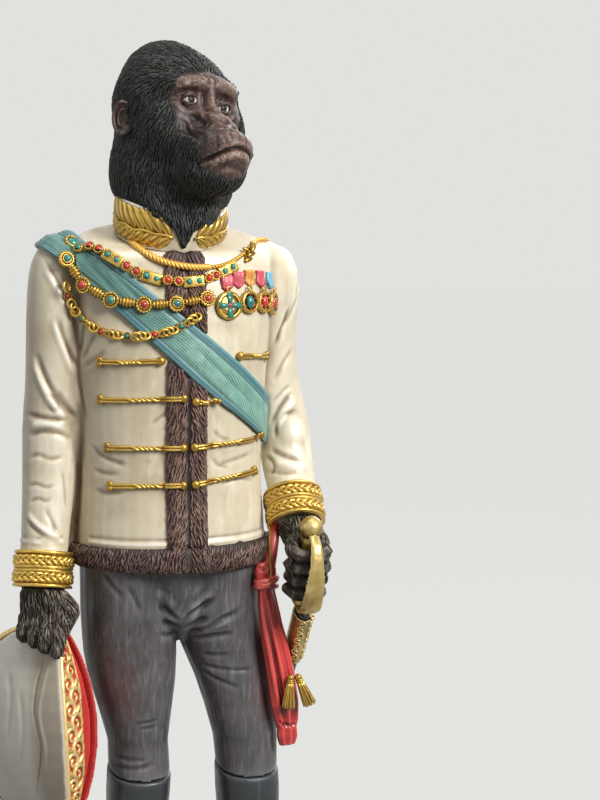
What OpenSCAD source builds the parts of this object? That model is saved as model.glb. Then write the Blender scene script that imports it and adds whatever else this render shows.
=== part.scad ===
// Gorilla officer figurine: painted castings glued together, standing on a round base.
// The figure faces -Y with its right hand at -X. The origin is the middle of the felt's underside.

/* [Base] */
// Diameter of the round base
base_d = 116; // [106:1:140]
// Height of the base above the felt
base_h = 12; // [9:0.5:20]
// Radius of the moulded edge of the base
base_edge = 2; // [1:0.25:3]
// Thickness of the felt pad
felt_t = 1.5; // [1:0.25:3]
// Setback of the felt from the edge of the base
felt_inset = 4; // [2:0.5:8]
// Radius of the peg under each boot
peg_r = 3; // [2:0.25:4]
// Length of the peg under each boot
peg_l = 6; // [4:0.5:7.5]

/* [Boots and trousers] */
// Height of the boots, from soles to knees
boot_h = 68; // [62:1:80]
// Thickness of the boot soles
sole_t = 2.5; // [2:0.25:3.5]
// Reach of the boots' toes in front of the ankle
toe_reach = 31; // [27:0.5:34]
// Reach of the boots' heels behind the ankle
heel_reach = 17; // [15:0.5:19]
// Width of the boots' feet
foot_w = 24; // [21:0.5:27]
// Radius of the boots at the ankle
ankle_r = 10.5; // [9.5:0.25:11.5]
// Radius of the legs at the knee
knee_r = 13.25; // [12.5:0.25:14]
// Half width of the breeches at their fullest
thigh_r = 20; // [18:0.25:21]
// Height from the knees to the jacket's hem
thigh_l = 86.5; // [80:0.5:96]
// Distance between the knees
stance = 47; // [44:0.5:50]

/* [Jacket] */
// Height of the jacket, from hem to collar
jacket_h = 144; // [138:1:152]
// Width at the hem
hem_w = 83; // [80:0.5:86]
// Width at the waist
waist_w = 79.5; // [77:0.5:82]
// Width at the chest
chest_w = 86; // [83:0.5:88]
// Width across the shoulders without the sleeves
shoulder_w = 90; // [87:0.5:92]
// Depth at the hem
hem_dp = 59; // [56:0.5:62]
// Depth at the waist
waist_dp = 55; // [52:0.5:58]
// Depth at the chest
chest_dp = 60; // [57:0.5:63]
// How far the torso stands over the weight-bearing leg
body_shift = 9.5; // [7:0.5:11]
// Radius of the sleeves at the wrist
wrist_r = 10.2; // [9.6:0.1:10.8]

/* [Collar and head] */
// Outer radius of the collar
collar_r = 23.25; // [22.5:0.25:24]
// Wall of the collar
collar_t = 2.2; // [1.6:0.1:2.8]
// Height of the collar
collar_h = 14; // [12:0.5:16]
// Forward lean of the collar in degrees
collar_lean = 17; // [12:1:20]
// Turn of the head towards the figure's left in degrees
head_turn = 19; // [12:1:28]
// Sideways tilt of the head towards the figure's left in degrees
head_roll = 6; // [0:1:10]
// Upward tilt of the face in degrees
head_tilt = 5; // [2:1:8]
// Height of the middle of the skull above the collar's seat
skull_up = 54; // [51:0.5:58]
// Half width of the skull
skull_r = 24; // [22.5:0.25:25]
// Reach of the muzzle in front of the middle of the skull
muzzle_reach = 44.5; // [41:0.5:47]
// Radius of the eyeballs
eye_r = 3.4; // [3:0.1:3.8]
// Distance between the eyes
eye_gap = 19; // [18:0.5:20]

/* [Trim] */
// Width of the shoulder sash
sash_w = 17; // [14:0.5:19]
// Thickness of the shoulder sash
sash_t = 1.8; // [1.3:0.1:2.2]
// Width of the fur on each side of the front opening
fur_w = 8.4; // [7:0.1:9.4]
// Thickness of the fur trim
fur_t = 2.4; // [1.8:0.1:3]
// Height of the fur hem
fur_hem_h = 12.5; // [10:0.5:15]
// Radius of the toggle bars
toggle_r = 1.1; // [0.9:0.05:1.3]
// Thickness of the gold cuffs
cuff_t = 1.7; // [1.3:0.1:2.2]
// Height of the gold cuffs
cuff_h = 15.5; // [13:0.5:17]
// Radius of the neck cord
cord_r = 1.5; // [1.2:0.05:1.8]
// Radius of the settings on the upper chain
setting_r = 2.1; // [1.8:0.05:2.3]
// Radius of the rosettes on the middle chain
rosette_r = 3.4; // [3:0.1:3.7]
// Radius of the medals
medal_r = 3.8; // [3.3:0.1:4]

/* [Sword] */
// Radius of the pommel
pommel_r = 4.9; // [4.2:0.1:5.4]
// Radius of the grip
grip_r = 3.4; // [3:0.1:3.8]
// Length of the grip between guard and pommel
grip_l = 31; // [29:0.5:34]
// Thickness of the knuckle guard
guard_t = 1.8; // [1.4:0.1:2.2]
// Length of the scabbard
scabbard_l = 100; // [84:1:108]
// Width of the scabbard at its mouth
scabbard_w = 10; // [8:0.25:11]

/* [Hat] */
// Half length of the cocked hat
hat_half = 43.5; // [40:0.5:45]
// Height of the hat's near side, from its opening to its ridge
hat_h = 42; // [38:0.5:46]
// Thickness of the hat at its middle
hat_t = 26; // [22:0.5:28]
// Wall of the hat
hat_wall = 2; // [1.6:0.1:2.6]
// How far the hat's far side stands above its near side
hat_rise = 4; // [2:0.5:6]

/* [Hidden] */

// Glue gap between neighbouring castings
gap = 0.2;
// Levels up the figure, and the middle of the torso
sole_z = felt_t + base_h;
knee_z = sole_z + boot_h;
hem_z = knee_z + thigh_l;
seat_z = hem_z + jacket_h;
body_x = -body_shift;

// Plain vector helpers
function unit(v) = v / norm(v);
function mix(a, b, t) = a + (b - a) * t;
function clamp(v, a, b) = min(max(v, a), b);
function power(v, e) = sign(v) * pow(abs(v), e);
function ones(points) = [for (p = points) 1];
function middle(points) = [for (k = [0 : 2]) [for (p = points) p[k]] * ones(points) / len(points)];
function xyz(p) = [p.x, p.y, p.z];

// Smooth row of a table of sections at a height, where column 0 is the height
function segment(rows, h) = max([for (i = [0 : len(rows) - 2]) if (i == 0 || rows[i][0] <= h) i]);
function row_slope(rows, i) =
    let (a = max(i - 1, 0), b = min(i + 1, len(rows) - 1))
    (rows[b] - rows[a]) / (rows[b][0] - rows[a][0]);
function section(rows, h) =
    let (i = segment(rows, h), step = rows[i + 1][0] - rows[i][0], t = (h - rows[i][0]) / step)
    rows[i] * (2 * t ^ 3 - 3 * t ^ 2 + 1) + row_slope(rows, i) * step * (t ^ 3 - 2 * t ^ 2 + t)
    + rows[i + 1] * (3 * t ^ 2 - 2 * t ^ 3) + row_slope(rows, i + 1) * step * (t ^ 3 - t ^ 2);
// A path eased through its hand-chosen points
function eased(path, steps) =
    let (rows = [for (i = [0 : len(path) - 1]) concat([i], path[i])], last = len(path) - 1)
    [for (j = [0 : steps]) let (r = section(rows, last * j / steps)) [for (k = [1 : len(r) - 1]) r[k]]];

// Skin over rings of equal count, closed at each end by a fan round the ring's middle
module skin(rings) {
    n = len(rings[0]);
    m = len(rings);
    sides = [for (j = [0 : m - 2], i = [0 : n - 1]) each
        let (a = j * n + i, b = j * n + (i + 1) % n) [[a, a + n, b + n], [a, b + n, b]]];
    ends = [for (i = [0 : n - 1]) each
        let (k = (i + 1) % n, top = (m - 1) * n) [[i, k, m * n], [top + k, top + i, m * n + 1]]];
    points = concat([for (r = rings) each r], [middle(rings[0]), middle(rings[m - 1])]);
    polyhedron(points, concat(sides, ends));
}
// Skin over a closed loop of rings
module belt(rings) {
    n = len(rings[0]);
    m = len(rings);
    polyhedron([for (r = rings) each r], [for (j = [0 : m - 1], i = [0 : n - 1]) each
        let (k = (j + 1) % m, h = (i + 1) % n)
        let (a = j * n + i, b = j * n + h, c = k * n + i, d = k * n + h) [[a, c, d], [a, d, b]]]);
}
// Rings round a path of [x, y, z, radius, radius], the second radius along the given side direction
function tangent(path, i) = unit(xyz(path[min(i + 1, len(path) - 1)]) - xyz(path[max(i - 1, 0)]));
function ring_round(p, way, side, n) =
    let (u = unit(cross(side, way)), v = cross(way, u))
    [for (k = [0 : n - 1]) let (a = 360 * k / n) xyz(p) + p[3] * cos(a) * u + p[4] * sin(a) * v];
function tube_rings(path, side, n) =
    [for (i = [0 : len(path) - 1]) ring_round(path[i], tangent(path, i), side, n)];
// Moves what is drawn along +Z to a point, with +Z along a direction
module stand(p, way) {
    translate(p) rotate([0, acos(way.z / norm(way)), atan2(way.y, way.x)]) children();
}

// Torso rows: height above the hem, half width, half depth, middle in Y, forward slope, squareness
waist_up = 42;
chest_up = jacket_h - 47;
shoulder_up = jacket_h - 15;
neck_half = collar_r + 2.5;
TORSO = [
    [0, hem_w / 2, hem_dp / 2, 0, 0, 2.3],
    [14, hem_w / 2 - 0.3, hem_dp / 2 - 0.4, 0, 0, 2.3],
    [waist_up, waist_w / 2, waist_dp / 2, 0, 0, 2.3],
    [(waist_up + chest_up) / 2, (waist_w + chest_w) / 4 - 0.4, (waist_dp + chest_dp) / 4, 0, 0, 2.3],
    [chest_up, chest_w / 2, chest_dp / 2, 0, 0, 2.3],
    [(chest_up + shoulder_up) / 2, mix(chest_w, shoulder_w, 0.6) / 2, chest_dp / 2 - 0.8, 0, 0.04, 2.3],
    [shoulder_up, shoulder_w / 2, chest_dp / 2 - 2.6, 0.4, 0.1, 2.3],
    [jacket_h - 4.5, shoulder_w / 2 - 1.5, chest_dp / 2 - 5, 0, 0.18, 2.25],
    [jacket_h - 1, mix(neck_half, shoulder_w / 2, 0.62), chest_dp / 2 - 6.5, -0.8, 0.27, 2.1],
    [jacket_h, neck_half, neck_half - 2.5, -1.5, tan(collar_lean), 2]
];
function torso_row(up) = section(TORSO, clamp(up, 0, jacket_h));
function torso_up(p, up, tries) = tries == 0 ? up :
    let (r = torso_row(up)) torso_up(p, p.z - hem_z - r[4] * (p.y - r[3]), tries - 1);
function torso_point(up, a) =
    let (r = torso_row(up), y = r[2] * power(sin(a), 2 / r[5]))
    [body_x + r[1] * power(cos(a), 2 / r[5]), r[3] + y, hem_z + up + r[4] * y];
// How far a point lies outside the torso, measured level from its axis
function torso(p) =
    let (up = torso_up(p, p.z - hem_z, 2), r = torso_row(up), dx = p.x - body_x, dy = p.y - r[3])
    let (fill = pow(pow(abs(dx / r[1]), r[5]) + pow(abs(dy / r[2]), r[5]), 1 / r[5]))
    max(norm([dx, dy, 0.01]) * (1 - 1 / max(fill, 0.0002)), up - jacket_h);

// Arms, shoulder to wrist: x from the torso's middle, y, z from the hem, half depth, half width
function arm(rows) = [for (r = rows) [body_x + r[0], r[1], hem_z + r[2], r[3], r[4]]];
right_arm = arm([[-45.8, 0.5, jacket_h - 0.4, 3, 3], [-46, 0.5, jacket_h - 1.8, 6.2, 6],
    [-46.6, 0.5, jacket_h - 4.6, 8.3, 8.2], [-47.8, 0.5, jacket_h - 9, 10.4, 10.2],
    [-49.3, 0.6, jacket_h - 17, 12.4, 11.6], [-50.2, 1, jacket_h - 36, 12.4, 11.8],
    [-50.4, 2.5, jacket_h - 60, 12.2, 11.8], [-51.4, 3.5, jacket_h - 80, 12.2, 12],
    [-52.8, 1, 42, 11.6, 11.4], [-55.2, -3, 20, wrist_r + 0.2, wrist_r + 0.2],
    [-56.5, -5, 8, wrist_r, wrist_r], [-57.8, -7, -4, wrist_r, wrist_r]]);
left_arm = arm([[46, 6, jacket_h - 5, 2.5, 2.5], [46.2, 6, jacket_h - 6, 6, 6],
    [46.8, 6.4, jacket_h - 8.5, 9.2, 8.8], [47.6, 7, jacket_h - 12, 11.2, 10.6],
    [48, 7.6, jacket_h - 18, 12.4, 11.5], [48, 8, jacket_h - 38, 12.4, 11.6],
    [48, 8, jacket_h - 54, 12.2, 11.2], [50.6, 8, jacket_h - 72, 12.4, 11.8],
    [53, 4, 56, 12, 11.8], [52.6, -5, 40, 11, 11],
    [52, -12, 30, wrist_r, wrist_r], [51.4, -19, 20, wrist_r, wrist_r]]);
function wrist(arm) = xyz(arm[len(arm) - 1]);
function wrist_way(arm) = unit(wrist(arm) - xyz(arm[len(arm) - 3]));
// How far a point lies outside the right sleeve, measured level from its axis
function right_sleeve_off(p) =
    let (rows = [for (i = [len(right_arm) - 1 : -1 : 0]) let (r = right_arm[i]) [r.z, r.x, r.y, r[4], r[3]]])
    let (r = section(rows, clamp(p.z, rows[0][0], rows[len(rows) - 1][0])))
    let (d = norm([(p.x - r[1]) / r[3], (p.y - r[2]) / r[4]]))
    max(norm([p.x - r[1], p.y - r[2], 0.01]) * (1 - 1 / max(d, 0.001)), p.z - rows[len(rows) - 1][0]);
// The torso and the right sleeve as cloth bridges them, with the hollow between them filled
bridge = 7;
function cloth(p) =
    let (a = torso(p), b = p.x < body_x - 25 ? right_sleeve_off(p) : a + 2 * bridge)
    let (h = max(bridge - abs(a - b), 0) / bridge) min(a, b) - h * h * bridge / 4;
function cloth_out(p) =
    let (e = 0.3) unit([for (k = [[e, 0, 0], [0, e, 0], [0, 0, e]]) cloth(p + k) - cloth(p - k)]);
function torso_out(p) =
    let (e = 0.3) unit([for (k = [[e, 0, 0], [0, e, 0], [0, 0, e]]) torso(p + k) - torso(p - k)]);

// Shoulder sash: a loop in a plane that leans from the right shoulder to the left hip
sash_angle = 39.7;
sash_lie = 0.55;
sash_up = jacket_h - 46;
sash_mid = [body_x, 0, hem_z + sash_up];
sash_across = [sin(sash_angle), 0, cos(sash_angle)];
sash_along = [cos(sash_angle), 0, -sin(sash_angle)];
// The sash stands a little further off over the sleeve's seam
function shoulder_lie(x) = 0.9 * clamp((body_x - 36 - x) / 6, 0, 1);
function sash_off(p) = (p - sash_mid) * sash_across;
function sash_edge_z(x, edge) = sash_mid.z - tan(sash_angle) * (x - body_x) + edge / cos(sash_angle);
// Where a ray from a middle point leaves the cloth
function leave(from, way, near, far, tries) = tries == 0 ? from + way * (near + far) / 2 :
    let (d = (near + far) / 2)
    cloth(from + way * d) > 0 ? leave(from, way, near, d, tries - 1) : leave(from, way, d, far, tries - 1);
function sash_point(a, across, lift) =
    let (p = leave(sash_mid + across * sash_across, cos(a) * sash_along + sin(a) * [0, 1, 0], 15, 90, 13))
    p + (lift + shoulder_lie(p.x)) * cloth_out(p);

// Points on the jacket's front at x from the torso's middle and z from the hem, raised off the cloth
function front_y(x, z, out, in, tries) = tries == 0 ? (out + in) / 2 :
    let (y = (out + in) / 2)
    cloth([x, y, z]) > 0 ? front_y(x, z, y, in, tries - 1) : front_y(x, z, out, y, tries - 1);
function on_cloth(x, up, lift) =
    let (p = [body_x + x, front_y(body_x + x, hem_z + up, -50, 0, 13), hem_z + up]) p + lift * cloth_out(p);
// Thickness of the sash and the fur that already lie there, for a piece of the given half size
ease_in = 2;
function ramp(v) = clamp(v / ease_in, 0, 1);
function cover(x, up, half) =
    let (off = abs(sash_off([body_x + x, 0, hem_z + up])), over_sash = sash_w / 2 + half + ease_in - off)
    let (over_fur = fur_w + half + ease_in - abs(x))
    let (band = sash_t + sash_lie + gap / 2 + 1.6 * shoulder_lie(body_x + x))
    gap + max(band * ramp(over_sash), (fur_t + gap) * ramp(over_fur));
function on_dress(p, half, lift) = on_cloth(p.x, p.y, cover(p.x, p.y, half) + lift);
// Places given as x from the torso's middle and drop below the collar's seat, as heights above the hem
function hang(places) = [for (q = places) [q.x, jacket_h - q.y]];
module at_dress(p, half, lift) {
    spot = on_dress(p, half, lift);
    stand(spot, cloth_out(spot)) children();
}

// Base and felt
module felt_pad() {
    color("#151515") cylinder(r = base_d / 2 - felt_inset, h = felt_t, $fn = 96);
}
module base() {
    r = base_d / 2;
    color("#1d1b1a") difference() {
        translate([0, 0, felt_t]) rotate_extrude($fn = 96) union() {
            square([r - base_edge, base_h]);
            square([r, base_h - base_edge]);
            translate([r - base_edge, base_h - base_edge]) circle(r = base_edge, $fn = 32);
        }
        for (side = [-1, 1])
            translate([foot_x(side), foot_y(side), sole_z - peg_l - gap])
                cylinder(r = peg_r + gap, h = peg_l + 1, $fn = 48);
    }
}

// Legs: the weight is on the right one, and the left one stands out to the side and forward
function knee_x(side) = side * stance / 2;
function knee_y(side) = side < 0 ? 1 : -4;
function foot_x(side) = side * (stance / 2 + 2);
function foot_y(side) = side < 0 ? 3 : -4;
foot_turn = 14;
// The boot tops slope down to the front
knee_slope = 0.3;
// Outline round a foot: a half width, a reach to the front and a reach to the back
function foot_ring(half, front, back, n) = [for (i = [0 : n - 1]) let (a = 360 * i / n)
    [half * power(cos(a), 0.85), (sin(a) < 0 ? front : back) * power(sin(a), 0.9)]];
function foot_turned(p, side, turn) =
    [p.x * cos(turn) - side * p.y * sin(turn), side * p.x * sin(turn) + p.y * cos(turn)];
// The sole stands out this far round the boot
welt = 0.6;
module boot_soles() {
    outline = foot_ring(foot_w / 2 + welt, toe_reach + welt, heel_reach + welt, 40);
    color("#141313") for (side = [-1, 1]) translate([foot_x(side), foot_y(side), sole_z]) {
        linear_extrude(sole_t) polygon([for (p = outline) foot_turned(p, side, foot_turn)]);
        translate([0, 0, -peg_l]) cylinder(r = peg_r, h = peg_l + sole_t / 2, $fn = 48);
    }
}
module boot(side) {
    shaft_r = knee_r + 0.5;
    // Rows: height above the sole, half width, reach to the front, reach to the back
    rows = [
        [sole_t + gap, foot_w / 2, toe_reach, heel_reach],
        [6, foot_w / 2, toe_reach - 0.4, heel_reach - 0.2],
        [9, foot_w / 2 - 0.3, toe_reach - 3, heel_reach - 1],
        [12, foot_w / 2 - 0.8, toe_reach - 8.5, heel_reach - 2],
        [16, mix(foot_w / 2, ankle_r, 0.6), toe_reach - 14.5, heel_reach - 3],
        [21, ankle_r, ankle_r + 2.6, ankle_r + 2],
        [27, ankle_r, ankle_r + 0.8, ankle_r + 1.2],
        [boot_h - 24, shaft_r - 0.8, shaft_r - 0.8, shaft_r + 1.2],
        [boot_h - 10, shaft_r, shaft_r, shaft_r + 0.4],
        [boot_h, shaft_r, shaft_r, shaft_r]];
    top = len(rows) - 1;
    // Above the instep the shaft turns straight ahead on its way to the knee
    instep = 20;
    color("#242223") skin([for (j = [0 : top])
        let (r = rows[j], t = clamp((r[0] - instep) / (boot_h - instep), 0, 1))
        let (x = mix(foot_x(side), knee_x(side), t), y = mix(foot_y(side), knee_y(side), t))
        [for (p = foot_ring(r[1], r[2], r[3], 28)) let (q = foot_turned(p, side, foot_turn * (1 - t)))
            [x + q.x, y + q.y, sole_z + r[0] + knee_slope * q.y * pow(t, 6) - (j == top ? gap : 0)]]]);
}
module right_boot() { boot(-1); }
module left_boot() { boot(1); }

// A thin oval plate, for hulls between the sections of a limb
plate_t = 0.05;
function oval(rx, ry, n) =
    [for (i = [0 : n - 1]) let (a = 360 * i / n) [rx * power(cos(a), 0.9), ry * power(sin(a), 0.9)]];
module plate(at, rx, ry, slope) {
    multmatrix([[1, 0, 0, at.x], [0, 1, 0, at.y], [0, slope, 1, at.z], [0, 0, 0, 1]])
        linear_extrude(plate_t) polygon(oval(rx, ry, 24));
}
module trousers() {
    waist_half = hem_w / 2 - 2.5;
    waist_deep = hem_dp / 2 - 2.5;
    // Half widths between the knee and the fullest part of the thigh
    function full(t) = mix(knee_r, thigh_r, t);
    // Rows: share of the way from knee to hem, towards the hip, half width, half depth
    right_rows = [[0, 0, knee_r, knee_r], [0.15, 0.12, knee_r - 0.3, knee_r],
        [0.32, 0.35, full(0.4), knee_r + 1.8], [0.46, 0.6, full(0.8), knee_r + 3.2],
        [0.6, 0.8, full(1), knee_r + 5], [0.8, 1, full(1), waist_deep - 5],
        [1, 1, full(1), waist_deep - 3]];
    left_rows = [[0, 0, knee_r, knee_r], [0.15, 0.04, knee_r + 0.6, knee_r + 0.4],
        [0.32, 0.2, full(0.35), knee_r + 1.5], [0.46, 0.36, full(0.6), knee_r + 2.5],
        [0.6, 0.6, full(0.85), knee_r + 4], [0.8, 1, full(1), waist_deep - 5],
        [1, 1, full(1), waist_deep - 3]];
    // The seat between the legs: the fork, the fullest level and the hem
    fork_z = knee_z + 0.66 * thigh_l;
    seat_level = knee_z + 0.78 * thigh_l;
    color("#4a474b") union() {
        for (side = [-1, 1]) {
            rows = side < 0 ? right_rows : left_rows;
            hip = [body_x + side * (waist_half - thigh_r), 0];
            knee = [knee_x(side), knee_y(side)];
            for (i = [0 : len(rows) - 2]) hull() for (r = [rows[i], rows[i + 1]])
                plate(concat(mix(knee, hip, r[1]), [knee_z + r[0] * (thigh_l - 2 * gap) + gap]),
                    r[2], r[3], r[0] == 0 ? knee_slope : 0);
        }
        hull() {
            plate([body_x + 2, 0, fork_z], 3, 11, 0);
            plate([body_x + 1, 0, seat_level], 14, waist_deep - 6, 0);
        }
        hull() {
            plate([body_x + 1, 0, seat_level], 14, waist_deep - 6, 0);
            plate([body_x, 0, hem_z - gap - plate_t], thigh_r, waist_deep - 1.5, 0);
        }
    }
}

// Jacket, sleeves, cuffs and fur
module jacket() {
    levels = concat([for (i = [0 : 12]) i * (shoulder_up - 9) / 12],
        [for (d = [-4, 0, 4]) shoulder_up + d], [for (d = [7.5, 4.5, 2.8, 1.8, 1, 0]) jacket_h - d]);
    color("#e0d8c4") skin([for (up = levels) [for (i = [0 : 39]) torso_point(up, 360 * i / 40)]]);
}
// Moves a point level with itself out of the torso, until the given room is between them
function pushed(p, room) =
    let (d = torso(p)) d >= room ? p : p + (room - d) * unit([p.x - body_x, p.y, 0]);
// The left sleeve makes room for the sash that passes under it
function arm_room(p) =
    gap + (sash_t + sash_lie + gap) * clamp((sash_w / 2 + 5 - abs(sash_off(p))) / 4, 0, 1);
module sleeve(arm, rooms) {
    color("#e0d8c4") skin([for (ring = tube_rings(eased(arm, 22), [1, 0, 0], 20))
        [for (p = ring) pushed(pushed(p, rooms ? arm_room(p) : gap), rooms ? arm_room(p) : gap)]]);
}
module right_sleeve() { sleeve(right_arm, false); }
module left_sleeve() { sleeve(left_arm, true); }
// A cuff has a cord at each edge and two in the middle, with braid between
module cuff(arm) {
    bore = wrist_r + gap + 0.4;
    cord = 0.9;
    lie = cuff_t - 0.5;
    end = wrist(arm) + gap * wrist_way(arm);
    stand(end, -wrist_way(arm)) color("#c9a13b") rotate_extrude($fn = 64) union() {
        translate([bore, 0]) square([lie, cuff_h]);
        for (v = [cord, cuff_h / 2 - cord, cuff_h / 2 + cord, cuff_h - cord])
            translate([bore + cuff_t - cord, v]) circle(r = cord - 0.05, $fn = 24);
    }
}
module right_cuff() { cuff(right_arm); }
module left_cuff() { cuff(left_arm); }
// The fur hem hangs this far below the jacket
hem_drop = 0.2;
module fur_hem() {
    // Profile round the hem: height from the hem and stand-off from the jacket
    profile = [[-hem_drop, 0], [0.3 - hem_drop, fur_t * 0.7], [fur_hem_h * 0.35 - hem_drop, fur_t + 0.1],
        [fur_hem_h * 0.75 - hem_drop, fur_t], [fur_hem_h - 0.3 - hem_drop, fur_t * 0.5],
        [fur_hem_h - hem_drop, 0]];
    color("#4a3129") belt([for (i = [0 : 39]) [for (q = profile)
        let (p = torso_point(max(q[0], 0), -360 * i / 40), out = torso_out(p))
        [p.x, p.y, hem_z + q[0]] + (gap + q[1]) * unit([out.x, out.y, 0])]]);
}
// Two rolls of fur beside the front opening: share of the width, and share of the thickness
FUR = [[-1, 0.4], [-0.75, 0.95], [-0.35, 1], [-0.06, 0.5], [0.06, 0.5], [0.35, 1], [0.75, 0.95], [1, 0.4]];
module fur_strip(low, high, rows) {
    function at(k, j, lift) = on_cloth(FUR[k][0] * fur_w, mix(low[k], high[k], j / rows), lift);
    skin([for (j = [0 : rows]) concat(
        [for (k = [0 : 7]) at(k, j, fur_t * FUR[k][1])], [for (k = [7, 4, 3, 0]) at(k, j, gap)])]);
}
// The fur is cut where the sash crosses
module fur_placket() {
    clear = sash_w / 2 + gap;
    function edge(f, side) = sash_edge_z(body_x + f[0] * fur_w, side * clear) + side * 0.5 - hem_z;
    color("#4a3129") {
        fur_strip([for (f = FUR) fur_hem_h - hem_drop + gap], [for (f = FUR) edge(f, -1)], 9);
        fur_strip([for (f = FUR) edge(f, 1)], [for (f = FUR) jacket_h - 9], 4);
    }
}

// Collar: a leaning band with a notch at the throat
seat = [body_x, -1.5, seat_z];
module on_seat() {
    translate(seat) rotate([collar_lean, 0, 0]) translate([0, 0, gap]) children();
}
notch_w = 9;
module collar() {
    throat = [[-0.8, 2], [0.8, 2], [notch_w / 2, collar_h + 1], [-notch_w / 2, collar_h + 1]];
    on_seat() color("#e6dcc6") difference() {
        rotate_extrude($fn = 96) translate([collar_r - collar_t, 0]) square([collar_t, collar_h]);
        rotate([90, 0, 0]) linear_extrude(2 * collar_r) polygon(throat);
    }
}
// A pointed leaf on the collar: angle and height of its foot, then of its tip
module leaf(foot, tip, half) {
    way = unit(tip - foot);
    per_mm = 180 / PI / collar_r;
    function spot(t, side, lift) =
        let (q = mix(foot, tip, t) + side * half * [-way.y * per_mm, way.x], r = collar_r + gap + lift)
        [r * sin(q.x), -r * cos(q.x), q.y];
    skin([for (t = [0.02, 0.25, 0.55, 0.98]) let (w = 0.15 + pow(sin(180 * t), 0.7))
        [spot(t, -w, 0.3), spot(t, 0, 0), spot(t, w, 0.3), spot(t, 0, 0.4 + w)]]);
}
// Sprays of paired leaves that point to the throat
module collar_leaves() {
    first = 21;
    step = 17;
    reach = 15;
    half = collar_h * 0.19;
    on_seat() color("#c9a13b") for (side = [-1, 1], i = [0 : 4], row = [-1, 1])
        let (a = first + i * step, tip = i == 0 ? 6 : 3)
        leaf([side * (a + reach), collar_h * (0.5 + 0.1 * row)],
            [side * (a - tip), collar_h * (0.5 + 0.36 * row)], half);
}

// Head frame: forward along the face, to the figure's left, and up
skull = seat + [3.5, -4.5, skull_up];
face = [sin(head_turn) * cos(head_tilt), -cos(head_turn) * cos(head_tilt), sin(head_tilt)];
level = [cos(head_turn), sin(head_turn), 0];
cheek = cos(head_roll) * level - sin(head_roll) * cross(face, level);
crown = cross(face, cheek);
function from_skull(p) = skull + p.x * face + p.y * cheek + p.z * crown;
// Forms of the head: middle and radii, each in the head's frame
nose_a = muzzle_reach - 18.5;
HEAD = [
    [[-6, 0, 2], [27, skull_r, 24]],
    [[-11, -3, 15], [20, 13, 14]],
    [[-7, 2, -26], [27, skull_r + 2, 34]],
    [[15.5, -0.5, 6.8], [8.5, 19, 5]],
    [[13, 0, -3], [12, 17, 14]],
    [[muzzle_reach - 17.5, 0, -20.5], [17.5, 15.5, 10]],
    [[nose_a, 0, -9.5], [8, 8.5, 5.5]],
    [[muzzle_reach - 21.8, 0, -29.5], [17, 14.5, 10.5]],
    [[11, 14, -11], [11, 9, 13]],
    [[11, -14, -11], [11, 9, 13]]
];
function bulge(p, form) =
    let (q = p - form[0], r = form[1], k = norm([q.x / r.x, q.y / r.y, q.z / r.z]))
    let (g = norm([q.x / r.x ^ 2, q.y / r.y ^ 2, q.z / r.z ^ 2])) k * (k - 1) / max(g, 0.0001);
function blend(a, b, size) = let (h = max(size - abs(a - b), 0) / size) min(a, b) - h * h * size / 4;
function blended(p, i) = i == 0 ? bulge(p, HEAD[0]) : blend(blended(p, i - 1), bulge(p, HEAD[i]), 5);
eye_a = 24;
eye_c = -0.2;
// The eyes lie a little off the middle and aslant
eye_off = -1.5;
eye_slant = 1;
function eye_spot(s) = [eye_a, eye_off + s * eye_gap / 2, eye_c - s * eye_slant];
socket_r = eye_r + 3;
function socket(p) =
    min([for (s = [-1, 1]) norm(p - eye_spot(s) - [socket_r - 2, 0, 0]) - socket_r]);
// The head is cut level with the collar's rim, where the hair rests on it
function under_rim(p) =
    collar_h + 2 * gap - (from_skull(p) - seat) * [0, -sin(collar_lean), cos(collar_lean)];
function head_at(p) = max(-blend(-blended(p, len(HEAD) - 1), socket(p), 3), under_rim(p));
// Where a ray from the middle of the head leaves it
head_mid = [0, 0, -8];
function head_ray(way, near, far, tries) = tries == 0 ? head_mid + way * (near + far) / 2 :
    let (d = (near + far) / 2)
    head_at(way * d + head_mid) > 0 ? head_ray(way, near, d, tries - 1) : head_ray(way, d, far, tries - 1);
function head_edge(way) = head_ray(way, 6, 80, 14);
module head() {
    rows = 37;
    around = 42;
    // The rows crowd together towards the face
    color("#2a2422") skin([for (j = [0 : rows]) let (tilt = 176 - 173 * pow(j / rows, 0.8))
        [for (i = [0 : around - 1]) let (a = 360 * i / around)
            from_skull(head_edge([cos(tilt), sin(tilt) * cos(a), sin(tilt) * sin(a)]))]]);
}
module neck() {
    on_seat() color("#2a2422") translate([0, 0, gap])
        cylinder(r = collar_r - collar_t - gap, h = collar_h - gap, $fn = 64);
}
ear_up = -6.5;
ear_back = -5;
module ears() {
    // Rings of the shell, from the root to its cupped rim: stand-off, half width and half height
    shell = [[1.15, 2.5, 4.5], [2.2, 4, 7], [4, 5, 8.5], [4.6, 4.4, 7.8], [3.2, 3, 6]];
    // The shell leans back, and its back edge stands out
    lean = 0.35;
    flare = 0.25;
    color("#4b322b") for (s = [-1, 1]) {
        way = unit([0.12, s, 0.05]);
        root = head_edge(unit([ear_back, s * skull_r, ear_up] - head_mid));
        skin([for (q = shell) [for (i = [0 : 15]) let (a = -s * 360 * i / 16)
            from_skull(root + q[0] * way
                + [q[1] * cos(a) - lean * q[0], -s * flare * q[1] * cos(a), q[2] * sin(a) + 0.5])]]);
    }
}
module eyes() {
    for (s = [-1, 1]) {
        look = unit(eye_spot(s) - head_mid);
        back = head_edge(look);
        color("#d8c9b4") stand(from_skull(back), face + 0.25 * s * cheek) translate([0, 0, 0.9])
            rotate_extrude($fn = 48) intersection() {
                translate([0, -eye_r * 0.55]) circle(r = eye_r, $fn = 64);
                square(eye_r);
            }
    }
}

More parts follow.
